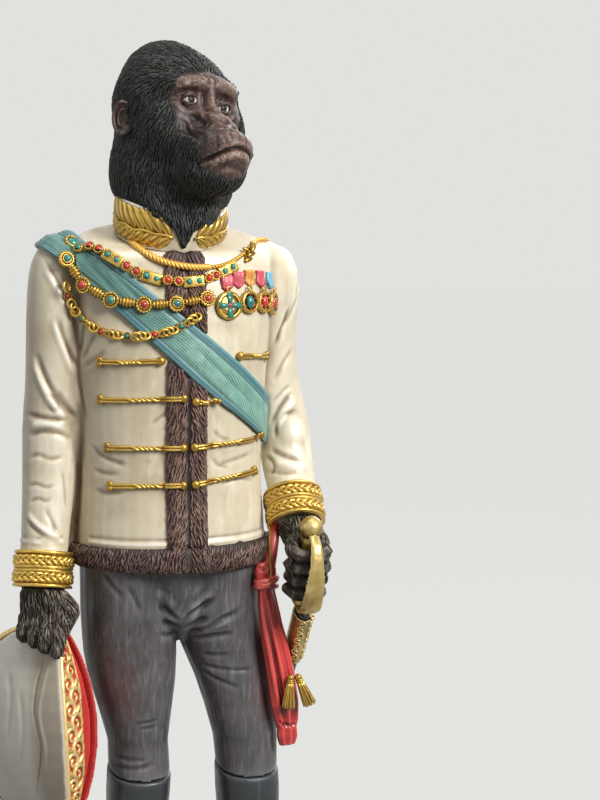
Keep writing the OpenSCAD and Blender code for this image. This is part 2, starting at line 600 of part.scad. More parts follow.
// Sash, cord, chains, medals and toggles on the jacket
module shoulder_sash() {
    // Across the band: share of the half width, and share of the thickness
    outer = [[-1, 0.75], [-0.82, 1], [0, 0.85], [0.82, 1], [1, 0.75]];
    inner = [1, 0.5, 0, -0.5, -1];
    stations = 60;
    // Closer together over the shoulder
    function angle(i) = let (t = 1 - 2 * i / stations) 180 + 180 * power(t, 1.35);
    color("#4f8f86") belt([for (i = [0 : stations - 1]) let (a = angle(i)) concat(
        [for (q = outer) sash_point(a, q[0] * sash_w / 2, sash_lie + q[1] * sash_t)],
        [for (s = inner) sash_point(a, s * sash_w / 2, sash_lie)])]);
}
module neck_cord() {
    route = hang([[-27.4, 3], [-23.4, 6.6], [-16.6, 11.2], [-10, 13.6], [-1.6, 14.2], [7, 13],
        [16.8, 9], [25, 6.2], [34, 4]]);
    color("#c08a2e") skin(tube_rings([for (q = eased(route, 26))
        concat(on_dress(q, 1, cord_r), [cord_r, cord_r])], [0, 0, 1], 8));
}
// Evenly spaced places along a hanging route of [x from the middle, height above the hem]
function lengths(points) = [for (i = 0, d = 0; i < len(points); i = i + 1,
    d = d + (i < len(points) ? norm(points[i] - points[i - 1]) : 0)) d];
function hung(route, count) =
    let (fine = eased(route, 48), d = lengths([for (q = fine) on_cloth(q.x, q.y, 1)]), n = len(d) - 1)
    let (xs = [for (i = [0 : n]) [d[i], fine[i].x]], ups = [for (i = [0 : n]) [d[i], fine[i].y]])
    [for (k = [0 : count - 1]) let (s = d[n] * k / (count - 1)) [lookup(s, xs), lookup(s, ups)]];
function spacing(places) =
    norm(on_cloth(places[1].x, places[1].y, 1) - on_cloth(places[2].x, places[2].y, 1));
upper_route = hang([[-40.5, 6.6], [-37.5, 6], [-32.6, 7.4], [-27, 10.8], [-19.9, 15], [-10.4, 18],
    [1.3, 19.2], [9, 17.8], [15, 15.6], [21, 13]]);
middle_route = hang([[-47, 10.4], [-45.4, 13.4], [-42.8, 16.6], [-39.4, 20], [-35.2, 24], [-29.6, 26.4],
    [-23.4, 27.6], [-15.6, 28.4], [-7.6, 28.2], [0.2, 27.4], [8, 26]]);
lower_route = hang([[-48, 20.8], [-47, 24.8], [-44.8, 29], [-40, 35], [-33.4, 39.6], [-22.4, 41.2],
    [-9.4, 39.6], [-3, 37], [3, 33.6]]);
upper_count = 17;
middle_count = 11;
lower_count = 19;
setting_h = 1;
rosette_h = 1.5;
link_h = 1.3;
module upper_chain() {
    color("#c9a13b") for (q = hung(upper_route, upper_count))
        at_dress(q, setting_r, 0) cylinder(r = setting_r, h = setting_h, $fn = 32);
}
// Rosettes with ribbed beads between them
module middle_chain() {
    places = hung(middle_route, middle_count);
    bead = spacing(places) - rosette_r - 2 * gap;
    bead_r = 2.1;
    function on_route(i) = on_cloth(places[i].x, places[i].y, 1);
    rim = 0.7;
    color("#c9a13b") for (i = [0 : middle_count - 1]) if (i % 2 == 0)
        at_dress(places[i], rosette_r, 0) rotate_extrude($fn = 48) union() {
            square([rosette_r - rim, rosette_h]);
            translate([rosette_r - rim, rosette_h / 2]) circle(r = rim, $fn = 24);
        }
    else
        stand(on_dress(places[i], bead_r, bead_r), on_route(i + 1) - on_route(i - 1))
            rotate_extrude($fn = 40) union() {
                translate([0, -bead]) square([bead_r - rim + 0.1, 2 * bead]);
                for (k = [-1, 0, 1])
                    translate([bead_r - rim, k * bead * 0.6]) circle(r = rim - 0.01, $fn = 24);
            }
}
// Small round links with a set stone in every third place
module lower_chain() {
    places = hung(lower_route, lower_count);
    link_r = spacing(places) / 2 - gap / 2;
    color("#c9a13b") for (i = [0 : lower_count - 1]) at_dress(places[i], link_r, 0)
        if (i % 3 == 1) cylinder(r = link_r, h = link_h, $fn = 32);
        else translate([0, 0, link_h / 2]) rotate_extrude($fn = 32)
            translate([link_r - link_h / 2, 0]) circle(r = link_h / 2, $fn = 24);
}
// A domed stone standing on its setting
module stone(place, half, setting, r) {
    at_dress(place, half, 0) translate([0, 0, setting + gap / 2]) rotate_extrude($fn = 32) intersection() {
        translate([0, -r * 0.4]) circle(r = r, $fn = 48);
        square(r);
    }
}
module stones(red) {
    upper = hung(upper_route, upper_count);
    middle = hung(middle_route, middle_count);
    lower = hung(lower_route, lower_count);
    link = spacing(lower) / 2;
    for (i = [0 : upper_count - 1]) if ((i % 4 == 1 || i % 4 == 2) == red)
        stone(upper[i], setting_r, setting_h, setting_r * 0.75);
    for (i = [0 : 2 : middle_count - 1]) if ((i % 4 == 2) == red)
        stone(middle[i], rosette_r, rosette_h, rosette_r * 0.55);
    for (i = [1 : 3 : lower_count - 1]) if ((i % 2 == 1) == red)
        stone(lower[i], link, link_h, link * 0.64);
}
module red_stones() { color("#a02018") stones(true); }
module green_stones() { color("#1f6e5c") stones(false); }
medal_places = hang([[18.6, 29], [28.4, 27.8], [35.8, 28], [41.6, 29]]);
medal_sizes = [1.38, 1, 0.96, 0.96];
ribbon_places = hang([[18.4, 20], [23.8, 18.6], [29.4, 18], [35, 18.4], [40.4, 19.2]]);
module medal_ribbons() {
    half = 2.4;
    drop = 3.2;
    point = 1.8;
    color("#b03a44") for (q = ribbon_places) at_dress(q, half, 0) linear_extrude(1.1)
        polygon([[-drop, -half], [drop - point, -half], [drop, 0], [drop - point, half], [-drop, half]]);
}
module medals() {
    rim = 0.6;
    thick = 1.1;
    color("#c9a13b") for (i = [0 : len(medal_places) - 1]) let (r = medal_r * medal_sizes[i])
        at_dress(medal_places[i], r, 0) rotate_extrude($fn = 48) union() {
            square([r - rim, thick]);
            translate([r - rim, rim + 0.1]) circle(r = rim, $fn = 24);
        }
}
// A toggle bar with a knob at each end, between two places on the jacket
module toggle(from, to) {
    // Share of the length, and share of the bar's radius
    knob = 1.7;
    shape = [[0, 0.5], [0.03, 1.5], [0.07, knob], [0.12, 1], [0.3, 0.9], [0.5, 0.9], [0.7, 0.9], [0.88, 1],
        [0.93, knob], [0.97, 1.5], [1, 0.5]];
    skin(tube_rings([for (q = shape) let (p = mix(from, to, q[0]))
        concat(on_dress(p, 1, toggle_r * knob), [q[1] * toggle_r, q[1] * toggle_r])], [0, 0, 1], 6));
}
// Left to the sash's edge where it crosses, and otherwise to the opening
module right_toggles() {
    bars = [[[-35, 52], [-11.5, 51.5]], [[-34.5, 68], [-1.4, 67]], [[-32, 88], [-1.4, 88]],
        [[-31, 104.5], [-1.4, 104]]];
    color("#c9a13b") for (b = bars) let (ends = hang(b)) toggle(ends[0], ends[1]);
}
module left_toggles() {
    bars = [[[23.5, 50], [38.5, 51.5]], [[2.4, 68], [11, 70]], [[2.4, 88], [33, 86]],
        [[2.4, 104], [32, 100]]];
    color("#c9a13b") for (b = bars) let (ends = hang(b)) toggle(ends[0], ends[1]);
}

// Waist sash: a knotted end that hangs from under the hem in upright folds
module waist_sash() {
    folds = 4;
    turn = 20;
    // Rows: drop below the hem's fur, x from the torso's middle, y, half width, half thickness, fold depth
    rows = [[0, 36.8, -19.6, 4.4, 2.2, 0], [3, 36.8, -20.4, 5.4, 3, 0.1], [7.5, 37, -20.4, 5, 3, 0.1],
        [10.5, 37.4, -20, 4.2, 2.4, 0.2], [19, 39, -19.6, 5.6, 2.4, 0.35], [31, 41.4, -19.6, 6.8, 2.5, 0.4],
        [45, 44.4, -19, 7.4, 2.6, 0.4], [58, 46.4, -18, 7.4, 2.6, 0.35], [65.5, 47.4, -17.2, 6.2, 2.5, 0.25],
        [68.5, 47.6, -17, 5, 2.4, 0.15], [72.5, 47.8, -17, 5.4, 2.4, 0.3], [76.5, 47.8, -17, 4, 1.8, 0.3]];
    top_z = hem_z - hem_drop - gap;
    color("#9c1f24") skin([for (j = [len(rows) - 1 : -1 : 0]) let (r = rows[j])
        [for (i = [0 : 23]) let (a = 360 * i / 24, fold = sin(a) < 0 ? 1 + r[5] * cos(2 * folds * a) : 1)
            let (x = r[3] * cos(a), y = r[4] * fold * power(sin(a), 0.7))
            [body_x + r[1] + x * cos(turn) - y * sin(turn), r[2] + x * sin(turn) + y * cos(turn),
             top_z - r[0]]]]);
}
// Two gilt tufts that hang on the waist sash
module sash_tassel() {
    at = [body_x + 47, -24.4, hem_z - 46];
    // Half outline of a tuft, from its cap down to its fringe
    tuft = [[0, 1.6], [1.3, 1.4], [1.5, 0], [1.3, -1.6], [2.2, -5], [2.9, -13], [2.4, -13.6], [0, -13.6]];
    for (k = [0, 1]) color("#c9a13b")
        translate(at + k * [3.4, -0.2, 0]) rotate([0, k == 0 ? 4 : -24, 0])
            rotate_extrude($fn = 40) polygon(tuft);
}

// Sword: the hilt leans forward in the left fist, and the scabbard trails to the back
guard = [body_x + 50.6, -29, hem_z - 12];
hilt_way = unit([0.02, -0.31, 0.95]);
bow_way = unit(cross([1, 0, 0], hilt_way));
module sword_hilt() {
    collar_l = 2;
    stand(guard, hilt_way) color("#a8853a") union() {
        cylinder(r = grip_r, h = grip_l, $fn = 40);
        cylinder(r = grip_r + 1, h = collar_l, $fn = 40);
        translate([0, 0, grip_l - collar_l]) cylinder(r = grip_r + 0.6, h = collar_l, $fn = 40);
        translate([0, 0, grip_l + pommel_r - 1]) sphere(r = pommel_r, $fn = 64);
    }
}
// The flat bow from pommel to guard: reach in front of the grip, height up the grip, half width
under_grip = -guard_t / 2 - gap;
function bow_rows() = [[pommel_r * 0.87 + 0.5, grip_l + 1.5, 2.2], [grip_r + 6, grip_l - 1, 2.8],
    [grip_r + 9.5, grip_l - 8, 3.5], [grip_r + 10.5, grip_l * 0.5, 4.4], [grip_r + 9.5, grip_l * 0.2, 5],
    [grip_r + 7.5, 1, 5], [grip_r + 4, under_grip, 4.6], [grip_r - 2, under_grip - 0.1, 4.2],
    [-grip_r - 3, under_grip, 3]];
module knuckle_guard() {
    rows = eased(bow_rows(), 18);
    last = len(rows) - 1;
    side = unit(cross(hilt_way, bow_way));
    function at(r) = guard + r[0] * bow_way + r[1] * hilt_way;
    color("#b08f45") skin([for (i = [0 : last])
        let (way = unit(at(rows[min(i + 1, last)]) - at(rows[max(i - 1, 0)])), c = at(rows[i]))
        let (out = guard_t / 2 * cross(side, way), w = rows[i][2] * side)
        [c - w, c - w / 2 + out, c + w / 2 + out, c + w, c + w / 2 - out, c - w / 2 - out]]);
}
// The scabbard's sabre curve for a length of 100: share of the length, then the way from the guard
CURVE = [[0, 1.6, 2.8, -4.4], [0.25, 1.5, 19.6, -28], [0.5, -0.6, 32, -50], [0.75, -3, 43.5, -71],
    [1, -7, 55, -91]];
function scabbard_path(from, to, grow, n) = [for (i = [0 : n])
    let (t = mix(from, to, i / n), r = section(CURVE, t), way = [r[1], r[2], r[3]] * scabbard_l / 100)
    concat(guard + way, [mix(scabbard_w / 2, 3, t) + grow, mix(3.2, 2, t) + grow])];
module scabbard() {
    color("#2a2627") skin(tube_rings(scabbard_path(0, 1, 0, 10), [1, 0, 0], 12));
}
// Mouth, middle band and chape, each a sleeve over a share of the scabbard
module scabbard_mounts() {
    skirt = 0.9;
    color("#b08f45") for (span = [[0.01, 0.24], [0.55, 0.6], [0.86, 0.99]]) {
        inner = tube_rings(scabbard_path(span[0], span[1], gap, 2), [1, 0, 0], 12);
        outer = tube_rings(scabbard_path(span[0], span[1], gap + skirt, 2), [1, 0, 0], 12);
        belt([for (i = [0 : 11])
            concat([for (j = [2 : -1 : 0]) outer[j][i]], [for (j = [0 : 2]) inner[j][i]])]);
    }
}

// Hat: a cocked hat carried on end, its opening towards the legs
hat_top = [body_x - 51.7, -15.8, hem_z - 19];
hat_lean = unit([-0.04, 0.045, 1]);
hat_open = unit(cross(cross(hat_lean, [0.669, -0.743, 0]), hat_lean));
hat_near = cross(hat_lean, hat_open) * -1;
hat_mid = hat_top - hat_half * hat_lean;
hat_dip = 7;
// Half thickness, ridge and brim of the hat at a share of its half length
function hat_round(l) = max(1 - l * l, 0);
function hat_ridge(l, rise) = (hat_h + rise) * pow(max(1 - pow(abs(l), 3.6), 0), 0.4);
function hat_brim(l) = -hat_dip * hat_round(l);
function hat_bow(l, s) =
    hat_wall + gap / 2 + (hat_t / 2 - hat_wall) * pow(hat_round(l), 0.8) * pow(1 - pow(s, 1.6), 0.7);
function hat_spot(l, h, t) = hat_mid + l * hat_half * hat_lean - h * hat_open + t * hat_near;
// Share of the way from brim to ridge at a height
function hat_share(l, h) = clamp((h - hat_brim(l)) / (hat_ridge(l, 0) - hat_brim(l)), 0, 1);
module hat_side(side, rise) {
    shares = [0, 0.12, 0.3, 0.5, 0.7, 0.87, 1];
    function at(l, s, in) =
        hat_spot(l, mix(hat_brim(l), hat_ridge(l, rise), s), side * (hat_bow(l, s) - in));
    function ring(l) =
        concat([for (s = shares) at(l, s, 0)], [for (k = [6 : -1 : 0]) at(l, shares[k], hat_wall)]);
    stations = [for (k = [-8 : 8]) 0.985 * sin(90 * k / 8)];
    skin([for (l = stations) side < 0 ? ring(l) : [for (k = [13 : -1 : 0]) ring(l)[k]]]);
}
module hat_near_side() { color("#ddd3be") hat_side(1, 0); }
module hat_far_side() { color("#ddd3be") hat_side(-1, hat_rise); }
// The lining fills the crown between the two sides, a little inside the brim
lining_end = 0.9;
lining_in = 2.2;
module hat_lining() {
    // Round its section: share of the depth, and the side
    outline = [[0, -1], [0.35, -1], [0.7, -1], [1, -1], [1, 1], [0.7, 1], [0.35, 1], [0, 1]];
    color("#a8231f") skin([for (k = [-6 : 6])
        let (l = lining_end * k / 6, deep = mix(hat_brim(l), hat_ridge(l, 0), 0.6))
        [for (q = outline) let (h = mix(hat_brim(l) + lining_in, deep, q[0]))
            hat_spot(l, h, q[1] * (hat_bow(l, hat_share(l, h)) - hat_wall - gap - 0.15))]]);
}
// Gilt lace along the near edge of the lining
module hat_lace() {
    lace_w = 12.5;
    lace_t = 1.1;
    bevel = 0.3;
    color("#c9a13b") skin([for (k = [-6 : 6])
        let (l = lining_end * k / 6, foot = hat_brim(l) + lining_in - gap, top = foot - lace_t)
        let (edge = hat_bow(l, 0.05) - hat_wall - gap - 0.4, end = edge - min(lace_w, 1.35 * edge))
        [hat_spot(l, foot, edge), hat_spot(l, top, edge - bevel), hat_spot(l, top, end + bevel),
         hat_spot(l, foot, end)]]);
}

// Right hand: its fingers lie over the near side of the hat and its thumb behind the far side
module joint(p, r) {
    translate(p) sphere(r = r, $fn = 8);
}
module limb(points) {
    for (i = [0 : len(points) - 2]) hull() for (q = [points[i], points[i + 1]]) joint(xyz(q), q[3]);
}
// Where a finger of the given radius rests on a side of the hat
function on_hat(l, h, r, side) =
    concat(hat_spot(l, h, side * (hat_bow(l, hat_share(l, h)) + r + 6 * gap)), [r]);
module right_hand() {
    cuff_end = wrist(right_arm) + 2 * gap * wrist_way(right_arm);
    palm_z = hat_top.z + 5.5;
    knuckle_r = 4;
    // A place over the hat's upper tip, at a height of its own
    function over_tip(h, t, z) = let (p = hat_spot(1, h, t)) [p.x, p.y, z];
    color("#2b2725") union() {
        hull() {
            stand(cuff_end, wrist_way(right_arm)) cylinder(r = wrist_r - 1.6, h = 1, $fn = 24);
            for (h = [-4, 13]) joint(over_tip(h, 2, palm_z + 1), 5.6);
        }
        for (i = [0 : 3]) let (h = -5 + 6.3 * i, r = i == 0 ? 2.8 : 3.2)
            limb([concat(over_tip(h, 3, palm_z - 1), [knuckle_r]), on_hat(0.94, h, r, 1),
                on_hat(0.78 + 0.047 * i, h, r * 0.9, 1)]);
        limb([concat(over_tip(6, -4, palm_z), [knuckle_r]), on_hat(0.86, 8, 3.2, -1),
            on_hat(0.76, 9, 2.9, -1)]);
    }
}
// Left hand: a fist round the grip of the sword
module left_hand() {
    cuff_end = wrist(left_arm) + 2 * gap * wrist_way(left_arm);
    finger_r = 3;
    turn = grip_r + finger_r + gap + 0.8;
    side = unit(cross(bow_way, hilt_way));
    function round_grip(a, up, r) =
        concat(guard + up * hilt_way + turn * (cos(a) * side + sin(a) * bow_way), [r]);
    // Angles round the grip from the knuckles to the finger tips
    curl = [210, 150, 100, 45, -5];
    color("#2b2725") union() {
        hull() {
            stand(cuff_end, wrist_way(left_arm)) cylinder(r = wrist_r - 2, h = 1, $fn = 24);
            for (up = [7, 25]) joint(xyz(round_grip(200, up, 3)) - 2.5 * bow_way, 3.6);
        }
        for (i = [0 : 3])
            limb([for (a = curl) round_grip(a, 6.2 + 6 * i, a < 30 ? finger_r - 0.4 : finger_r)]);
        limb([round_grip(215, 27, 3.4), round_grip(270, 27, 3.2), round_grip(330, 26, 2.8)]);
    }
}

felt_pad();
base();
boot_soles();
right_boot();
left_boot();
trousers();
jacket();
fur_hem();
fur_placket();
right_sleeve();
left_sleeve();
right_cuff();
left_cuff();
right_hand();
left_hand();
collar();
collar_leaves();
neck();
head();
ears();
eyes();
shoulder_sash();
neck_cord();
upper_chain();
middle_chain();
lower_chain();
red_stones();
green_stones();
medal_ribbons();
medals();
right_toggles();
left_toggles();
waist_sash();
sash_tassel();
sword_hilt();
knuckle_guard();
scabbard();
scabbard_mounts();
hat_near_side();
hat_far_side();
hat_lining();
hat_lace();
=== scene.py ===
import math

import bpy
import numpy as np
from mathutils import Matrix, Vector
from mathutils.bvhtree import BVHTree
from mathutils.kdtree import KDTree
from mathutils.noise import noise_vector, seed_set


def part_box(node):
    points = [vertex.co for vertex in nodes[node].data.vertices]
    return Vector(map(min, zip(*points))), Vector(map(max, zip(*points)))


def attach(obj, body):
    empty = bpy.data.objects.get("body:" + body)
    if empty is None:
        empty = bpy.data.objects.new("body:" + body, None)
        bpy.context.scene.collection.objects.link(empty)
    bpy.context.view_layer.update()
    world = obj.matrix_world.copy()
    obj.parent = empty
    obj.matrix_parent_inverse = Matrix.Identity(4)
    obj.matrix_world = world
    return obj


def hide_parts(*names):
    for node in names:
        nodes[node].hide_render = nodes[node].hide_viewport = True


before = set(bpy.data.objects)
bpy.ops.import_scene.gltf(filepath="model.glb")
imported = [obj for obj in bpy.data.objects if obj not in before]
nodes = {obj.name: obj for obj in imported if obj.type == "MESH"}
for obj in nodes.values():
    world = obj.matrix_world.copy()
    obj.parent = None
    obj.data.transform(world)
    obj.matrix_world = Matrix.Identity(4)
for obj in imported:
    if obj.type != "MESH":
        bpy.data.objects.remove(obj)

# The noise starts from the clock unless it has a seed
seed_set(5)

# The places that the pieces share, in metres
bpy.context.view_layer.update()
MM = 0.001
BODY_X = -9.5 * MM
HEM_Z = 168 * MM
SEAT_Z = 312 * MM
scene = bpy.context.scene

# Camera at the photograph's angle
AZIMUTH = math.radians(-18)
ELEVATION = math.radians(5)
DISTANCE = 1.1
VIEW_HEIGHT = 0.344
PHOTO_W, PHOTO_H = 600, 800
TARGET = Vector((0.0440, -0.0174, 0.2414))
AWAY = Vector((math.sin(AZIMUTH) * math.cos(ELEVATION), -math.cos(AZIMUTH) * math.cos(ELEVATION),
               math.sin(ELEVATION)))
RIGHT = Vector((math.cos(AZIMUTH), math.sin(AZIMUTH), 0))
UP = AWAY.cross(RIGHT)


def make_camera():
    """A long lens, level with the chest."""
    lens = bpy.data.cameras.new("camera")
    lens.sensor_fit = "VERTICAL"
    lens.sensor_height = 24
    lens.lens = lens.sensor_height * DISTANCE / VIEW_HEIGHT
    camera = bpy.data.objects.new("camera", lens)
    scene.collection.objects.link(camera)
    camera.location = TARGET + AWAY * DISTANCE
    camera.rotation_euler = AWAY.to_track_quat("Z", "Y").to_euler()
    scene.camera = camera


def photo_ray(x, y):
    """Start and direction of the sight line through a place in the photograph."""
    across = (x - PHOTO_W / 2) / PHOTO_H * VIEW_HEIGHT
    up = (PHOTO_H / 2 - y) / PHOTO_H * VIEW_HEIGHT
    return TARGET + AWAY * DISTANCE, (RIGHT * across + UP * up - AWAY * DISTANCE).normalized()


# Selection, copies and modifiers


def take(*pieces):
    """Selects only these pieces, with the first one active."""
    bpy.ops.object.select_all(action="DESELECT")
    for piece in pieces:
        piece.select_set(True)
    bpy.context.view_layer.objects.active = pieces[0]


def new_piece(name, points, faces):
    """A mesh piece from its points and faces."""
    mesh = bpy.data.meshes.new(name)
    mesh.from_pydata([tuple(p) for p in points], [], [tuple(f) for f in faces])
    mesh.validate()
    piece = bpy.data.objects.new(name, mesh)
    scene.collection.objects.link(piece)
    return piece


def joined(name, pieces):
    """Several pieces as one."""
    take(*pieces)
    if len(pieces) > 1:
        bpy.ops.object.join()
    piece = bpy.context.view_layer.objects.active
    piece.name = name
    piece.data.name = name
    return piece


def edit(piece, *steps):
    """Runs edit-mode steps on the whole of a piece."""
    take(piece)
    bpy.ops.object.mode_set(mode="EDIT")
    bpy.ops.mesh.select_all(action="SELECT")
    for step in steps:
        step()
    bpy.ops.object.mode_set(mode="OBJECT")


def cast_copy(name, *names):
    """A merged copy of the frame's solids."""
    copies = []
    for node in names:
        copy = bpy.data.objects.new(node + "_clay", nodes[node].data.copy())
        scene.collection.objects.link(copy)
        copies.append(copy)
    piece = joined(name, copies)
    edit(piece, lambda: bpy.ops.mesh.remove_doubles(threshold=1e-6))
    piece.data.materials.clear()
    for layer in list(piece.data.uv_layers):
        piece.data.uv_layers.remove(layer)
    return piece


def apply(piece, kind, **settings):
    """Adds a modifier to a piece and applies it."""
    take(piece)
    modifier = piece.modifiers.new(kind, kind)
    for key, value in settings.items():
        setattr(modifier, key, value)
    bpy.ops.object.modifier_apply(modifier=modifier.name)


def remesh(piece, grain, rounds):
    """Turns facets into an even skin of small quads of a grain in millimetres, then rubs it smooth."""
    apply(piece, "REMESH", mode="VOXEL", voxel_size=grain * MM)
    apply(piece, "SMOOTH", iterations=rounds, factor=0.5)


def clay(name, node, grain, rounds):
    """A solid as clay, ready to be worked."""
    piece = cast_copy(name, node)
    remesh(piece, grain, rounds)
    return piece


def turned(name, outline, steps):
    """A revolved piece from a half outline of (radius, height), about Z."""
    count = len(outline)
    points = [(r * math.cos(a), r * math.sin(a), h)
              for a in (2 * math.pi * k / steps for k in range(steps)) for r, h in outline]
    faces = []
    for k in range(steps):
        here, there = k * count, (k + 1) % steps * count
        faces += [(here + i, there + i, there + i + 1, here + i + 1) for i in range(count - 1)]
    piece = new_piece(name, points, faces)
    edit(piece, lambda: bpy.ops.mesh.remove_doubles(threshold=1e-7),
         lambda: bpy.ops.mesh.normals_make_consistent(inside=False))
    return piece


def copy_at(piece, matrix):
    """A copy of a piece with its own mesh, moved within its mesh."""
    copy = bpy.data.objects.new(piece.name, piece.data.copy())
    scene.collection.objects.link(copy)
    copy.data.transform(matrix)
    return copy


def drop(*pieces):
    """Removes pieces that were only patterns for copies."""
    for piece in pieces:
        bpy.data.objects.remove(piece)


def put(piece, matrix):
    """Moves a piece within its mesh."""
    piece.data.transform(matrix)
    return piece


def ball(radius, matrix, segments=20, rings=12):
    """A ball of a radius in millimetres, placed and pressed by its matrix."""
    bpy.ops.mesh.primitive_uv_sphere_add(segments=segments, ring_count=rings, radius=radius * MM)
    return put(bpy.context.object, matrix)


def standing(at, out, along):
    """Matrix that puts a pattern at a place, its Z along out and its X near along."""
    z = Vector(out).normalized()
    x = Vector(along)
    x = (x - z * x.dot(z)).normalized()
    columns = (x, z.cross(x), z, at)
    return Matrix([[column[k] for column in columns] for k in range(3)] + [[0, 0, 0, 1]])


# Points, normals and marks of a mesh


def points_of(piece):
    """The points of a piece, as rows."""
    flat = np.empty(len(piece.data.vertices) * 3)
    piece.data.vertices.foreach_get("co", flat)
    return flat.reshape(-1, 3)


def normals_of(piece):
    """The way out of the surface at each point."""
    flat = np.empty(len(piece.data.vertices) * 3)
    piece.data.vertex_normals.foreach_get("vector", flat)
    return flat.reshape(-1, 3)


def set_points(piece, points):
    """Puts the points of a piece in new places."""
    piece.data.vertices.foreach_set("co", np.ascontiguousarray(points, float).ravel())
    piece.data.update()


def mark(piece, name, values):
    """A number for each point, or one for all, which the finishes read."""
    layer = piece.data.attributes.get(name) or piece.data.attributes.new(name, "FLOAT", "POINT")
    every = np.broadcast_to(values, len(piece.data.vertices))
    layer.data.foreach_set("value", np.ascontiguousarray(every, np.float32))


def marks_of(piece, name):
    """The numbers that a mark holds."""
    values = np.empty(len(piece.data.vertices))
    piece.data.attributes[name].data.foreach_get("value", values)
    return values


def shadow(bed):
    """Marks a bed under locks as dark all over."""
    for name, value in (("hollow", 0.85), ("raised", 0), ("tone", 0)):
        mark(bed, name, value)


def unit(values):
    """Values held between 0 and 1."""
    return np.clip(values, 0, 1)


def ease(t):
    """A share held between 0 and 1, which starts and ends gently."""
    t = min(max(t, 0), 1)
    return t * t * (3 - 2 * t)


def distance_along(points, start, way):
    """How far each point lies from a start along a way."""
    return (points - np.array(start)) @ np.array(way)


def axes_of(points):
    """The three ways in which points spread, from the least to the most, as columns."""
    return np.linalg.eigh(np.cov(points.T))[1]


def rubbed(piece, points, rounds, share=1.0):
    """Points moved towards the middle of their neighbours, by a share for each."""
    edges = np.empty(len(piece.data.edges) * 2, int)
    piece.data.edges.foreach_get("vertices", edges)
    a, b = edges.reshape(-1, 2).T
    size = len(points)
    count = np.maximum(np.bincount(a, minlength=size) + np.bincount(b, minlength=size), 1)[:, None]
    soft = points.copy()
    for _ in range(rounds):
        near = [np.bincount(a, soft[b, k], size) + np.bincount(b, soft[a, k], size) for k in range(3)]
        soft += (np.stack(near, 1) / count - soft) / 2 * share
    return soft


def slid(points, moved, tree):
    """Moved points, each as far off a surface as it was before."""
    seats = []
    for p, q in zip(points, moved):
        at, out, _, _ = tree.find_nearest(p)
        rise = (Vector(p) - at).dot(out)
        at, out, _, _ = tree.find_nearest(q)
        seats.append(at + out * rise)
    return np.array(seats)


# The hem: the coat's half width there, the fur's height and where the lift fades out, in millimetres
HEM_HALF = 45
FUR_TALL = 12.3
FADE_ABOVE = 30
FADE_BELOW = 22


def raise_hem(piece):
    """Lifts what lies at the hem to the curve that the photograph shows."""
    points = points_of(piece)
    side = np.clip((points[:, 0] - BODY_X) / (HEM_HALF * MM), -1.1, 1.1)
    up = (points[:, 2] - HEM_Z) / MM
    low = 3.3 + 2.6 * side ** 2
    high = 1.3 + 1.4 * side ** 2 + 0.6 * side
    share = unit(up / FUR_TALL)
    fade = unit(1 - (up - FUR_TALL) / FADE_ABOVE) * unit(1 + up / FADE_BELOW)
    points[:, 2] += (low * (1 - share) + high * share) * fade * MM
    set_points(piece, points)


def relief(piece, rounds, depth):
    """Marks hollows and ridges by how far each point lies from its smoothed surroundings, in millimetres."""
    points = points_of(piece)
    lie = ((rubbed(piece, points, rounds) - points) * normals_of(piece)).sum(1) / (depth * MM)
    mark(piece, "hollow", unit(lie))
    mark(piece, "raised", unit(-lie))


def surface(*pieces):
    """A tree over the faces of pieces, for sight lines and nearest points."""
    points = []
    faces = []
    for piece in pieces:
        start = len(points)
        points.extend(v.co.copy() for v in piece.data.vertices)
        faces.extend([start + v for v in p.vertices] for p in piece.data.polygons)
    return BVHTree.FromPolygons(points, faces)


def seen(tree, places):
    """Places in the photograph as points on a surface."""
    hits = [tree.ray_cast(*photo_ray(x, y))[0] for x, y in places]
    return [hit for hit in hits if hit]


def spread(path, step):
    """A path with points no further apart than a step."""
    fine = []
    for a, b in zip(path, path[1:]):
        count = max(1, math.ceil((b - a).length / step))
        fine.extend(a.lerp(b, k / count) for k in range(count))
    return fine + [path[-1]]


def rounded(path):
    """A path with its corners cut twice, so that it runs in a curve."""
    for _ in range(2):
        if len(path) < 3:
            return path
        cut = [path[0]]
        for a, b in zip(path, path[1:]):
            cut.extend((a.lerp(b, 0.25), a.lerp(b, 0.75)))
        path = cut + [path[-1]]
    return path


def nearest(tree, places):
    """The nearest points of a surface."""
    return [tree.find_nearest(p)[0] for p in places]


def creases(tree, folds):
    """Strokes from rows that end in a half width, a height and places in the photograph."""
    return [(rounded(seen(tree, places)), width, height) for *_, width, height, places in folds]


def press(piece, strokes):
    """Works strokes into clay, each a path, a half width and a height, which is negative for a groove."""
    points = points_of(piece)
    tree = KDTree(len(points))
    for i, p in enumerate(points):
        tree.insert(p, i)
    tree.balance()
    push = np.zeros(len(points))
    for path, width, height in strokes:
        if not path:
            continue
        reach = width * MM
        fine = spread(path, reach / 3)
        last = max(len(fine) - 1, 1)
        best = {}
        for k, p in enumerate(fine):
            fade = 1 if len(path) == 1 else min(1, 4.5 * min(k, last - k) / last + 0.15)
            for _, i, d in tree.find_range(p, reach):
                force = fade * (1 - (d / reach) ** 2) ** 2
                if force > best.get(i, 0):
                    best[i] = force
        for i, force in best.items():
            push[i] += force * height * MM
    set_points(piece, points + normals_of(piece) * push[:, None])


# Tubes, ropes and locks


